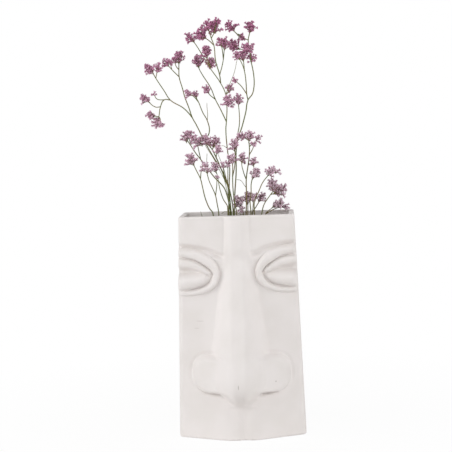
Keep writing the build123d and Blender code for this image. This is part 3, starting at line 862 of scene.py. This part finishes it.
# %% The routes of the limbs
# Each spray lists its limbs, the main stalk first. A limb is its rank (0 a stalk, 1 a branch, 2 a side
# twig), the size of its flower head as a share of a full one, and its points: to the right, back and
# up. None as a first point is the fork under the rim.
SPRAY_SHARES = ((
    (0, 0.8, (-.07, .03, .0), (-.085, .03, .16), (-.09, .04, .26), (-.085, .05, .44), (-.11, .06, .64),
     (-.125, .07, .84), (-.12, .08, .91), (-.115, .09, 1.08), (-.127, .10, 1.185), (-.18, .11, 1.30),
     (-.285, .12, 1.45), (-.37, .12, 1.59), (-.44, .12, 1.70), (-.49, .12, 1.76)),
    (1, 1, (-.12, .08, .91), (-.18, .16, 1.03), (-.24, .22, 1.14), (-.29, .25, 1.26), (-.38, .26, 1.40),
     (-.41, .26, 1.46), (-.42, .26, 1.54)),
    (2, 0.65, (-.24, .22, 1.14), (-.30, .20, 1.19), (-.33, .18, 1.24)),
    (2, 1.05, (-.115, .09, 1.08), (-.10, .05, 1.10), (-.10, .02, 1.12)),
    (2, 0.7, (-.127, .10, 1.185), (-.10, .15, 1.22), (-.09, .18, 1.25)),
    (1, 0.8, (-.18, .11, 1.30), (-.187, .05, 1.38), (-.225, .0, 1.52), (-.24, -.03, 1.67),
     (-.265, -.05, 1.74), (-.29, -.06, 1.82), (-.30, -.06, 1.87)),
    (2, 0.9, (-.24, -.03, 1.67), (-.29, .02, 1.72), (-.35, .03, 1.76), (-.38, .03, 1.78)),
    (2, 0.5, (-.35, .03, 1.76), (-.36, -.04, 1.83)),
    (2, 0.9, (-.265, -.05, 1.74), (-.235, -.01, 1.81), (-.24, .02, 1.85)),
    (2, 0.6, (-.235, -.01, 1.81), (-.215, -.06, 1.90)),
    (2, 0.85, (-.187, .05, 1.38), (-.165, .06, 1.46), (-.15, .07, 1.54), (-.143, .08, 1.62),
     (-.14, .09, 1.70)),
    (2, 0.6, (-.15, .07, 1.54), (-.16, .0, 1.64), (-.18, -.01, 1.71)),
    (2, 0.95, (-.285, .12, 1.45), (-.285, .19, 1.51)),
    (2, 0.95, (-.285, .12, 1.45), (-.31, .05, 1.54), (-.32, .03, 1.62)),
), (
    (0, 0.9, (-.05, .075, .0), (-.07, .08, .14), (-.12, .09, .32), (-.18, .10, .44), (-.24, .11, .53),
     (-.35, .13, .72), (-.43, .14, .88), (-.47, .15, .95), (-.51, .17, 1.06), (-.55, .19, 1.16),
     (-.575, .20, 1.25), (-.61, .21, 1.37), (-.612, .21, 1.44), (-.61, .21, 1.575)),
    (2, 0.45, (-.612, .21, 1.44), (-.65, .26, 1.49), (-.66, .28, 1.545)),
    (2, 0.65, (-.61, .21, 1.37), (-.64, .16, 1.40), (-.68, .15, 1.44), (-.74, .15, 1.51)),
    (2, 0.4, (-.68, .15, 1.44), (-.69, .10, 1.50)),
    (1, 0.9, (-.47, .15, .95), (-.50, .13, .99), (-.56, .11, 1.05), (-.69, .09, 1.13), (-.75, .08, 1.22),
     (-.835, .07, 1.35), (-.87, .07, 1.41), (-.90, .07, 1.45)),
    (2, 0.7, (-.835, .07, 1.35), (-.82, .03, 1.40), (-.81, .0, 1.45)),
    (1, 0.8, (-.69, .09, 1.13), (-.75, .05, 1.13), (-.785, .03, 1.06), (-.80, .01, .96), (-.82, .0, .90)),
    (2, 0.8, (-.785, .03, 1.06), (-.84, .05, 1.06), (-.92, .06, 1.12), (-.95, .06, 1.14)),
    (2, 0.15, (-.75, .05, 1.13), (-.82, .02, 1.14), (-.845, .01, 1.18)),
    (2, 0.7, (-.80, .01, .96), (-.85, .05, .97), (-.89, .07, .98)),
    (2, 0.35, (-.80, .01, .96), (-.78, -.05, .94), (-.77, -.08, .89)),
    (1, 0.5, (-.35, .13, .72), (-.30, .17, .80), (-.32, .19, .92), (-.37, .20, 1.01), (-.41, .20, 1.11),
     (-.435, .20, 1.16), (-.44, .20, 1.19)),
    (2, 0.55, (-.41, .20, 1.11), (-.46, .15, 1.17), (-.51, .13, 1.20)),
), (
    (0, 0.9, (-.04, .11, .0), (-.035, .12, .19), (-.023, .13, .39), (-.02, .14, .66), (.0, .14, .76),
     (.03, .14, .84), (.05, .14, .91), (.075, .14, 1.01), (.097, .14, 1.13), (.14, .14, 1.19),
     (.157, .14, 1.26), (.157, .14, 1.36), (.14, .13, 1.465), (.125, .12, 1.53), (.115, .10, 1.62),
     (.10, .09, 1.73), (.115, .09, 1.81), (.12, .09, 1.87)),
    (2, 0.7, (.125, .12, 1.53), (.13, .17, 1.56)),
    (2, 0.95, (.115, .10, 1.62), (.09, .05, 1.65)),
    (2, 0.5, (.10, .09, 1.73), (.04, .12, 1.76), (-.01, .13, 1.79), (.025, .13, 1.76)),
    (2, 0.9, (-.01, .13, 1.79), (-.06, .15, 1.84), (-.09, .15, 1.88)),
    (2, 0.95, (.115, .10, 1.62), (.04, .17, 1.64), (-.01, .19, 1.66), (-.05, .20, 1.69)),
    (1, 0.6, (.097, .14, 1.13), (.085, .10, 1.19), (.08, .07, 1.29), (.063, .04, 1.42), (.03, .01, 1.51),
     (-.005, .0, 1.57)),
    (2, 0.8, (.063, .04, 1.42), (.055, .08, 1.50), (.045, .10, 1.58)),
    (2, 0.3, (.085, .10, 1.19), (.02, .04, 1.28), (-.03, .02, 1.32)),
    (1, 0.8, (-.02, .14, .66), (-.01, .20, .78), (.007, .22, .89), (.005, .23, 1.0), (-.01, .23, 1.14)),
), (
    (0, 0.85, (-.075, -.015, .0), (-.09, -.015, .09), (-.11, -.01, .17), (-.14, .0, .245),
     (-.24, .03, .35), (-.31, .04, .44), (-.38, .05, .53), (-.42, .05, .58), (-.48, .05, .67),
     (-.52, .05, .74), (-.52, .05, .77)),
    (2, 0.5, (-.48, .05, .67), (-.49, .0, .75), (-.48, -.03, .79)),
    (2, 1, (-.38, .05, .53), (-.40, .0, .64), (-.415, -.02, .72), (-.42, -.02, .725)),
), (
    (0, 0.95, (-.25, -.095, .0), (-.28, -.10, .04), (-.315, -.11, .12), (-.33, -.12, .17),
     (-.35, -.13, .26), (-.37, -.13, .34), (-.41, -.12, .42), (-.44, -.11, .48), (-.47, -.11, .54)),
    (2, 0.3, (-.37, -.13, .34), (-.365, -.08, .42), (-.35, -.05, .48)),
    (1, 0.7, None, (-.19, -.09, .0), (-.205, -.10, .09), (-.22, -.11, .17), (-.25, -.14, .25),
     (-.28, -.17, .32), (-.30, -.19, .40), (-.31, -.19, .45)),
    (2, 0.15, (-.22, -.11, .17), (-.205, -.15, .29), (-.205, -.16, .35)),
    (2, 0.8, None, (-.10, -.10, .06), (-.14, -.11, .13), (-.17, -.10, .21), (-.185, -.09, .27),
     (-.20, -.09, .36), (-.23, -.10, .46)),
), (
    (0, 1, (-.09, -.05, .0), (-.09, -.05, .14), (-.10, -.05, .26), (-.13, -.04, .34), (-.17, -.03, .44),
     (-.22, -.01, .55), (-.26, .0, .63), (-.30, .01, .69), (-.32, .01, .73)),
    (2, 0.95, (-.26, .0, .63), (-.24, .05, .68), (-.23, .07, .71)),
    (2, 0.7, (-.22, -.01, .55), (-.21, -.06, .60), (-.20, -.08, .63)),
    (2, 0.35, (-.13, -.04, .34), (-.14, -.09, .42), (-.15, -.10, .47)),
    (2, 0.45, (-.10, -.05, .26), (-.10, -.03, .40), (-.10, -.03, .48)),
), (
    (0, 0.7, (-.01, -.07, .0), (-.03, -.07, .10), (-.045, -.08, .22), (-.05, -.09, .36), (-.05, -.10, .48),
     (-.06, -.10, .54)),
    (1, 0.8, (-.05, -.09, .36), (-.03, -.03, .48), (-.03, -.01, .60), (-.035, .0, .68)),
), (
    (0, 0.8, (.085, -.035, .0), (.088, -.03, .10), (.088, -.03, .19), (.085, -.02, .33), (.105, .0, .49),
     (.115, .01, .58), (.115, .02, .66), (.11, .03, .72), (.12, .04, .77)),
    (2, 0.7, (.085, -.02, .33), (.06, -.05, .40), (.04, -.05, .49), (.045, -.03, .55)),
    (2, 0.35, (.115, .01, .58), (.14, -.03, .62), (.157, -.04, .66), (.16, -.05, .68)),
    (2, 0.45, (.115, .02, .66), (.17, .08, .71), (.20, .09, .74)),
    (2, 0.7, (.11, .03, .72), (.06, .05, .75), (.03, .05, .76)),
), (
    (0, 0.9, (.135, -.08, .0), (.125, -.08, .12), (.135, -.09, .19), (.14, -.09, .31), (.165, -.09, .37),
     (.18, -.09, .40)),
    (2, 0.6, (.14, -.09, .31), (.16, -.03, .42), (.16, -.02, .51)),
    (1, 0.85, None, (.17, -.10, .0), (.17, -.11, .11), (.215, -.12, .22), (.255, -.13, .31),
     (.31, -.13, .38), (.34, -.16, .42)),
    (2, 0.45, (.31, -.13, .38), (.36, -.07, .40), (.40, -.05, .41)),
    (1, 1.05, None, (.245, -.08, .0), (.265, -.07, .08), (.33, -.06, .18), (.36, -.05, .23),
     (.35, -.04, .28)),
    (2, 1.15, (.33, -.06, .18), (.39, .0, .20), (.44, .02, .23)),
), (
    (0, 1.05, (.05, .03, .0), (.03, .035, .04), (.01, .04, .09), (.0, .04, .115)),
    (2, 0.5, None, (.03, -.02, -.06), (.035, -.05, .03)),
    (2, 0.95, None, (.10, .02, .0), (.10, .045, .09), (.10, .055, .15)),
    (2, 0.65, None, (.15, .0, .0), (.155, -.01, .08), (.16, -.01, .15)),
    (2, 0.75, (.15, .0, .0), (.20, .03, .08), (.24, .04, .15)),
    (2, 0.9, None, (.28, .03, -.02), (.36, .03, .05), (.41, .03, .08)),
    (2, 0.55, (.28, .03, -.02), (.38, .09, .03), (.48, .11, .05)),
))

# Bare twigs, tendrils and stubs, which carry no flowers: the spray they grow on, and their points
BARE_SHARES = (
    (1, (-.127, .10, 1.185), (-.09, .07, 1.28), (-.04, .04, 1.40), (-.01, .01, 1.53)),
    (1, (-.11, .06, .64), (-.14, .03, .665), (-.165, .02, .67)),
    (2, (-.32, .19, .92), (-.315, .15, 1.0), (-.32, .13, 1.06), (-.32, .12, 1.10)),
    (4, (-.31, .04, .44), (-.315, .0, .50), (-.31, -.03, .59)),
    (5, (-.243, -.09, -.15), (-.33, -.09, -.08), (-.36, -.09, -.03), (-.37, -.10, .01)),
    (6, (-.10, -.05, .26), (-.17, -.04, .40), (-.25, -.02, .55), (-.31, .0, .64), (-.34, .01, .69)),
    (6, (-.09, -.05, .14), (-.16, -.07, .42), (-.22, -.07, .57), (-.28, -.05, .67)),
    (6, (-.10, -.05, .26), (-.14, -.01, .43), (-.20, .0, .58), (-.24, .0, .68)),
    (6, (-.088, -.05, -.05), (-.08, -.08, .0), (-.11, -.09, .01), (-.13, -.10, .01),
     (-.16, -.10, -.01)),
    (8, (.088, -.03, .19), (.08, .0, .25), (.06, -.01, .28), (.03, -.02, .32), (-.01, -.03, .33)),
)
print("sprays", len(SPRAY_SHARES), "bare twigs", len(BARE_SHARES))

# %% Turn the shares into places
def place(point):
    """A point of the bunch in the vase's frame, from its shares."""
    across, back, up = (share * BUNCH_REACH for share in point)
    return Vector((
        across * math.cos(BUNCH_LEAN) + up * math.sin(BUNCH_LEAN),
        BUNCH_Y + back,
        VASE_HEIGHT + up * math.cos(BUNCH_LEAN) - across * math.sin(BUNCH_LEAN),
    ))


def fork_below(mouth):
    """The foot of a stalk that passes the rim at this place, and the fork on its way there."""
    middle = Vector((0, BUNCH_Y, 0))
    foot = middle + (mouth - middle) * GATHER_SHARE
    foot.z = FLOOR_LEVEL + FOOT_GAP
    return foot, foot.lerp(mouth, FORK_SHARE) + Vector((0, BOW, 0))


def plan_spray(limbs):
    """Every limb of one spray as its rank, the size of its head and its places."""
    foot, fork = fork_below(place(limbs[0][2]))
    plan = []
    for rank, bloom, *points in limbs:
        if not plan:
            route = [foot, fork] + [place(point) for point in points]
        elif points[0] is None:
            route = [fork] + [place(point) for point in points[1:]]
        else:
            route = [place(point) for point in points]
        plan.append((rank, bloom, route))
    return plan


SPRAYS = [plan_spray(limbs) for limbs in SPRAY_SHARES]
print("sprays", len(SPRAYS), "limbs", sum(map(len, SPRAYS)))

# %% [markdown]
# ## The flower heads, as a drawing
# The last centimetre of every limb is its head: a dozen or so short twigs that arch outwards, each
# with a row of papery cups along its upper side. At this size no one can tell one twig from the
# next, so the heads are grown by a rule with a fixed seed. The twigs leave the limb one above the
# other, a golden angle apart, as leaves do. The lowest are the longest and lean out the most, and
# the cups follow each twig alternately to its left and right.

# %% Grow the heads
TWIGS = 13
FEWEST_TWIGS = 3
HEAD_DEPTH = 0.0095
LOW_TWIG = (0.0088, 0.5, 1.3)
TOP_TWIG = (0.0056, 0.1, 0.6)
TWIG_STEPS = 6
GOLDEN_ANGLE = math.radians(137.5)
TWIG_CHANCES = (0.8, 1.2)
LENGTH_CHANCES = (0.8, 1.15)
# The foot of each twig that carries no cups, as a share of it
BARE_FOOT = 0.2
CUP_GAP = 0.0014
# How much steeper than its twig a cup stands, and how much less so at the twig's tip
CUP_RISE = 0.7
TIP_LOSS = 0.6
LEAN_CHANCE = 0.5
CUP_SWAY = 0.55
SWAY_CHANCE = 0.6
# The lowest twig leaves the limb a little more than a head's depth below its end
LOWEST_SHARE = 1.1


def heading(lean, turn):
    """The direction that leans this far from straight up, turned round the upright."""
    return Vector((math.sin(lean) * math.cos(turn), math.sin(lean) * math.sin(turn), math.cos(lean)))


def grow_twig(length, low, high, turn, chance):
    """The places along one arching twig, and a place and a direction for each cup on it."""
    leans = np.linspace(low, high, TWIG_STEPS) * chance.uniform(*TWIG_CHANCES)
    points = [Vector((0, 0, 0))]
    for lean in leans:
        points.append(points[-1] + heading(lean, turn) * length / TWIG_STEPS)
    count = max(2, round(length / CUP_GAP))
    cups = []
    for number in range(count):
        share = BARE_FOOT + (1 - BARE_FOOT) * number / (count - 1)
        step = min(int(share * TWIG_STEPS), TWIG_STEPS - 1)
        spot = points[step].lerp(points[step + 1], share * TWIG_STEPS - step)
        sway = CUP_SWAY * (1 if number % 2 else -1) + chance.uniform(-SWAY_CHANCE, SWAY_CHANCE)
        side = heading(math.pi / 2, turn + math.pi / 2)
        rise = CUP_RISE * (1 - TIP_LOSS * share)
        lean = leans[step] - rise + chance.uniform(-LEAN_CHANCE, LEAN_CHANCE)
        cups.append((spot, (heading(lean, turn) + side * sway).normalized()))
    return points, cups


def grow_head(route, bloom, chance):
    """The twigs and the cups of the head on this limb's end."""
    upright = (route[-1] - route[-2]).to_track_quat("Z", "Y")
    start = chance.uniform(0, math.tau)
    count = max(FEWEST_TWIGS, round(TWIGS * bloom))
    twigs = []
    cups = []
    for number in range(count):
        share = number / (count - 1)
        root = route[-1] - upright @ Vector((0, 0, HEAD_DEPTH * bloom * (LOWEST_SHARE - share)))
        length, low, high = (1 - share) * np.array(LOW_TWIG) + share * np.array(TOP_TWIG)
        length *= bloom * chance.uniform(*LENGTH_CHANCES)
        points, spots = grow_twig(length, low, high, start + number * GOLDEN_ANGLE, chance)
        twigs.append([root + upright @ point for point in points])
        cups.extend((root + upright @ spot, upright @ way) for spot, way in spots)
    return twigs, cups


chance = random.Random(7)
HEADS = [[grow_head(route, bloom, chance) for rank, bloom, route in plan] for plan in SPRAYS]
print("cups", sum(len(cups) for heads in HEADS for twigs, cups in heads))

# %% [markdown]
# ## The stems
# The real stems are round wires of plant, about 1.6 mm thick at the rim and half to two thirds of
# that where they carry a flower. A skin modifier could thicken a skeleton of edges, but it folds
# where thin limbs meet at a narrow angle. A curve with a round bevel keeps them clean: every limb is
# one line through its points, with a radius that shrinks towards the end, and it starts inside the
# limb it grows from.

# %% Draw the stems
STALK_RADIUS = 0.0008
RANK_SHARES = (1, 0.85, 0.75)
TIP_SHARE = 0.7
BARE_SHARE = 0.45
TWIG_SHARE = 0.4
STALK_STEPS = 5


def draw_line(curve, points, first, last):
    """A smooth line through the points, with its thickness running from first to last."""
    line = curve.splines.new("BEZIER")
    line.resolution_u = STALK_STEPS if len(points) > 2 else 1
    line.bezier_points.add(len(points) - 1)
    for number, (bend, point) in enumerate(zip(line.bezier_points, points)):
        bend.co = point
        bend.radius = first + (last - first) * number / (len(points) - 1)


def draw_stems(name, plan, heads, bare):
    """One spray's limbs and twigs as one curve, turned into a mesh."""
    bpy.ops.object.select_all(action="DESELECT")
    bpy.ops.curve.primitive_bezier_curve_add()
    stems = bpy.context.object
    stems.name = name
    stems.data.splines.clear()
    stems.data.bevel_depth = STALK_RADIUS
    stems.data.bevel_resolution = 1
    stems.data.use_fill_caps = True
    for rank, bloom, route in plan:
        draw_line(stems.data, route, RANK_SHARES[rank], RANK_SHARES[rank] * TIP_SHARE)
    for points in bare:
        draw_line(stems.data, [place(point) for point in points], BARE_SHARE, BARE_SHARE * TIP_SHARE)
    for twigs, cups in heads:
        for twig in twigs:
            draw_line(stems.data, twig[::2], TWIG_SHARE, TWIG_SHARE * TIP_SHARE)
    bpy.ops.object.mode_set(mode="EDIT")
    bpy.ops.curve.select_all(action="SELECT")
    bpy.ops.curve.handle_type_set(type="AUTOMATIC")
    bpy.ops.object.mode_set(mode="OBJECT")
    bpy.ops.object.convert(target="MESH")
    return bpy.context.object


STEMS = []
for number, (plan, heads) in enumerate(zip(SPRAYS, HEADS), start=1):
    bare = [points for spray, *points in BARE_SHARES if spray == number]
    STEMS.append(draw_stems(f"spray_{number}_stalks", plan, heads, bare))
print("stems", sum(len(stems.data.polygons) for stems in STEMS), "faces")

# %% [markdown]
# ## Bracts
# Wherever a limb forks, a dry brown scale clasps it. It shows as a dark knot on the green stem. One is
# modelled from a short cone whose top is drawn out to a hooked point, and a copy goes on every fork.

# %% Model one bract
BRACT_SIDES = 6
BRACT_LENGTH = 0.0024
BRACT_FOOT = 0.00045
BRACT_WAIST = 0.00075
# Height of the waist as a share of the length, how far over the tip hooks, and how fine it ends
WAIST_SHARE = 0.4
HOOK_SHARE = 0.9
POINT_SHARE = 0.15
# Points above this share of a height count as its top
TOP_SHARE = 0.9


def select_points(piece, test):
    """Selects, in edit mode, the points of the piece whose place passes the test."""
    bpy.ops.object.mode_set(mode="EDIT")
    bpy.ops.mesh.select_mode(type="VERT")
    bpy.ops.mesh.select_all(action="DESELECT")
    bpy.ops.object.mode_set(mode="OBJECT")
    for point in piece.data.vertices:
        point.select = test(point.co)
    bpy.ops.object.mode_set(mode="EDIT")


def stand_cone(sides, foot, top, height):
    """A cone on its foot at the middle of the room, with its top selected to be drawn out."""
    bpy.ops.object.select_all(action="DESELECT")
    bpy.ops.mesh.primitive_cone_add(
        vertices=sides, radius1=foot, radius2=top, depth=height, location=(0, 0, height / 2),
    )
    cone = bpy.context.object
    bpy.ops.object.transform_apply(location=True, rotation=False, scale=False)
    select_points(cone, lambda place: place.z > height * TOP_SHARE)
    return cone


def model_bract():
    waist = BRACT_LENGTH * WAIST_SHARE
    bract = stand_cone(BRACT_SIDES, BRACT_FOOT, BRACT_WAIST, waist)
    rise = (BRACT_WAIST * HOOK_SHARE, 0, BRACT_LENGTH - waist)
    bpy.ops.mesh.extrude_region_move(TRANSFORM_OT_translate={"value": rise})
    bpy.ops.transform.resize(value=(POINT_SHARE, POINT_SHARE, POINT_SHARE))
    bpy.ops.object.mode_set(mode="OBJECT")
    return bract


bract = model_bract()
print("bract", len(bract.data.polygons), "faces")

# %% Put the bracts on the forks
# Copies are spun by up to this many radians, a little over a full turn
SPIN = 6.3
BRACT_CHANCES = (0.9, 1.3)


def set_down(model, way, spot, spin, size):
    """A copy of the model with its own mesh, stood on the spot so that its top points this way."""
    copy = model.copy()
    copy.data = model.data.copy()
    turned = way.to_track_quat("Z", "Y").to_matrix().to_4x4() @ Matrix.Rotation(spin, 4, "Z")
    copy.data.transform(Matrix.Translation(spot) @ turned @ Matrix.Scale(size, 4))
    bpy.context.collection.objects.link(copy)
    return copy


def merge(pieces):
    """Joins the pieces into the first one."""
    bpy.ops.object.select_all(action="DESELECT")
    for piece in pieces:
        piece.select_set(True)
    bpy.context.view_layer.objects.active = pieces[0]
    bpy.ops.object.join()
    return pieces[0]


def mark(piece, name, value):
    """Gives every point of the piece this value, for its material to read."""
    attribute = piece.data.attributes.new(name, "FLOAT", "POINT")
    attribute.data.foreach_set("value", [value] * len(piece.data.vertices))


mark(bract, "scale", 1)
for stems, plan in zip(STEMS, SPRAYS):
    mark(stems, "scale", 0)
    scales = []
    for rank, bloom, route in plan[1:]:
        way = (route[1] - route[0]).normalized()
        size = RANK_SHARES[rank] * chance.uniform(*BRACT_CHANCES)
        scales.append(set_down(bract, way, route[0] - way * BRACT_FOOT, chance.uniform(0, SPIN), size))
    merge([stems] + scales)
bpy.data.objects.remove(bract)
print("stems with bracts", sum(len(stems.data.polygons) for stems in STEMS), "faces")

# %% [markdown]
# ## Dried stem
# A dried stem keeps its chlorophyll green in places and turns straw brown in others, in streaks a
# centimetre or two long. The skin is waxy, so it has a soft sheen. The scales are dead brown leaf.

# %% Make the dried stem and give it to the stems
STEM_GREEN = "#68703a"
STEM_STRAW = "#827348"
SCALE_BROWN = "#54402f"
STREAK_SIZE = 0.018


def stem_material():
    """Dried plant stem: waxy, green with straw-coloured streaks, brown where a scale clasps it."""
    material, tree, skin = new_material("dried stem")
    skin.inputs["Roughness"].default_value = 0.6
    skin.inputs["IOR"].default_value = 1.45
    place = add_node(tree, "ShaderNodeTexCoord").outputs["Object"]
    streak = add_node(
        tree, "ShaderNodeTexNoise", values={"Scale": 1 / STREAK_SIZE, "Detail": 2}, links={"Vector": place}
    )
    share = add_node(
        tree, "ShaderNodeMapRange", values={"From Min": 0.42, "From Max": 0.62},
        links={"Value": streak.outputs["Fac"]},
    )
    stem = add_node(
        tree, "ShaderNodeMix", {"data_type": "RGBA"}, {6: linear(STEM_GREEN), 7: linear(STEM_STRAW)},
        {0: share.outputs[0]},
    )
    scale = add_node(tree, "ShaderNodeAttribute", {"attribute_name": "scale"})
    skin_colour = add_node(
        tree, "ShaderNodeMix", {"data_type": "RGBA"}, {7: linear(SCALE_BROWN)},
        {0: scale.outputs["Fac"], 6: stem.outputs[2]},
    )
    tree.links.new(skin_colour.outputs[2], skin.inputs["Base Color"])
    return material


dried_stem = stem_material()
for number, stems in enumerate(STEMS, start=1):
    for face in stems.data.polygons:
        face.use_smooth = True
    finish_piece(stems, dried_stem, "bouquet", "dried_stem", f"spray_{number}_stem")

# %% [markdown]
# ## The cups
# The colour of dried sea lavender is not a petal but the papery cup round it, a funnel with five
# lobes, about 4 mm long. It is modelled once from a cone: its top is drawn out and widened, every
# second rim point is pulled in and down between the lobes, and the middle is sunk into a throat. So
# it is a closed skin with a few dozen faces, because more than two thousand copies are needed.

# %% Model one cup
CUP_LENGTH = 0.0038
CUP_FOOT = 0.0003
CUP_WAIST = 0.0008
CUP_MOUTH = 0.0020
CUP_WAIST_SHARE = 0.6
LOBES = 5
# How far in a notch lies, and how far down a notch and the throat lie as shares of the length
CUP_NOTCH = 0.65
NOTCH_DROP = 0.12
THROAT_DROP = 0.35


def model_cup():
    waist = CUP_LENGTH * CUP_WAIST_SHARE
    top = CUP_LENGTH * TOP_SHARE
    cup = stand_cone(2 * LOBES, CUP_FOOT, CUP_WAIST, waist)
    bpy.ops.mesh.extrude_region_move(TRANSFORM_OT_translate={"value": (0, 0, CUP_LENGTH - waist)})
    widening = CUP_MOUTH / CUP_WAIST
    bpy.ops.transform.resize(value=(widening, widening, 1))
    bpy.ops.mesh.poke()
    select_points(cup, lambda place: place.z > top and place.xy.length < CUP_WAIST)
    bpy.ops.transform.translate(value=(0, 0, -CUP_LENGTH * THROAT_DROP))
    select_points(cup, lambda place: place.z > top and is_notch(place))
    bpy.ops.transform.resize(value=(CUP_NOTCH, CUP_NOTCH, 1))
    bpy.ops.transform.translate(value=(0, 0, -CUP_LENGTH * NOTCH_DROP))
    bpy.ops.object.mode_set(mode="OBJECT")
    return cup


def is_notch(place):
    """Whether this rim point lies between two lobes."""
    turn = math.atan2(place.x, place.y) / (2 * math.pi)
    return round(turn * 2 * LOBES) % 2 == 1


cup = model_cup()
print("cup", len(cup.data.polygons), "faces")

# %% [markdown]
# ## Filling the heads
# The colour runs from the cup's foot to its rim, so each point of the model carries how far out from
# the axis it lies. Each copy also gets one number for how pale it is: partly chance fading, so no two
# cups have the same mauve, and partly painted light, which makes the heads near the rim the palest.
# A spray's cups are then merged into one piece.

# %% Copy the cups onto the twigs
# How much of the paling is painted light, growing the lower a cup stands, while the rest is chance fading
LOW_PAINTED_LIGHT = 0.85
CUP_CHANCES = (0.75, 1.1)
outer = cup.data.attributes.new("outer", "FLOAT", "POINT")
outer.data.foreach_set("value", [point.co.xy.length / CUP_MOUTH for point in cup.data.vertices])
BLOSSOMS = []
for number, heads in enumerate(HEADS, start=1):
    cups = []
    for twigs, spots in heads:
        for spot, way in spots:
            copy = set_down(cup, way, spot, chance.uniform(0, SPIN), chance.uniform(*CUP_CHANCES))
            # Painted light: the lower a cup stands, the paler it is drawn; the rest of its paling is chance
            # fading
            low = 1 - (spot.z - VASE_HEIGHT) / (CAD_BOX[1][2] - VASE_HEIGHT)
            mark(copy, "faded_and_lit", chance.random() * (1 - LOW_PAINTED_LIGHT) + low * LOW_PAINTED_LIGHT)
            cups.append(copy)
    cups[0].name = f"spray_{number}_cups"
    BLOSSOMS.append(merge(cups))
bpy.data.objects.remove(cup)
print("blossoms", sum(len(piece.data.polygons) for piece in BLOSSOMS), "faces")

# %% [markdown]
# ## Dried flower
# The cups are as dry and matt as tissue paper. Their foot is olive brown, their wall is a deep mauve,
# and their lobes go from mauve to nearly white as they fade, and paler still by painted light on the
# low heads. The throat is painted darkest, as painted shade in the cup's hollow.

# %% Make the dried flower and give it to the cups
# Painted shade: the dark tone at the cup's sunk middle stands for the shade in its throat
PAINTED_THROAT_SHADE = "#472536"
FOOT_TONE = "#6f583c"
WALL_TONE = "#a96a8e"
FRESH_TONE = "#c474a0"
# The pale end of the lobes: real fading, and painted light on the low heads
FADED_AND_LIT_TONE = "#fff6fb"


def flower_material():
    """Dried papery flower: matt, from a painted-shade throat and an olive foot to mauve lobes, paled by
    fading and painted light.
    """
    material, tree, paper = new_material("dried flower")
    paper.inputs["Roughness"].default_value = 0.85
    paper.inputs["Specular IOR Level"].default_value = 0.2
    outer = add_node(tree, "ShaderNodeAttribute", {"attribute_name": "outer"})
    ramp = add_node(tree, "ShaderNodeValToRGB", links={"Fac": outer.outputs["Fac"]})
    stops = ramp.color_ramp.elements
    stops[0].color = linear(PAINTED_THROAT_SHADE)
    stops[1].color = linear(WALL_TONE)
    stops.new(0.16).color = linear(FOOT_TONE)
    stops.new(0.4).color = linear(WALL_TONE)
    # How pale each cup is: chance fading, and painted light on the low heads
    faded_and_lit = add_node(tree, "ShaderNodeAttribute", {"attribute_name": "faded_and_lit"})
    lobe = add_node(
        tree, "ShaderNodeMix", {"data_type": "RGBA"}, {6: linear(FRESH_TONE), 7: linear(FADED_AND_LIT_TONE)},
        {0: faded_and_lit.outputs["Fac"]},
    )
    share = add_node(
        tree, "ShaderNodeMapRange", values={"From Min": 0.2, "From Max": 0.8},
        links={"Value": outer.outputs["Fac"]},
    )
    tone = add_node(
        tree, "ShaderNodeMix", {"data_type": "RGBA"},
        links={0: share.outputs[0], 6: ramp.outputs["Color"], 7: lobe.outputs[2]},
    )
    tree.links.new(tone.outputs[2], paper.inputs["Base Color"])
    return material


dried_flower = flower_material()
for number, blossom in enumerate(BLOSSOMS, start=1):
    finish_piece(blossom, dried_flower, "bouquet", "dried_blossom", f"spray_{number}_blossom")
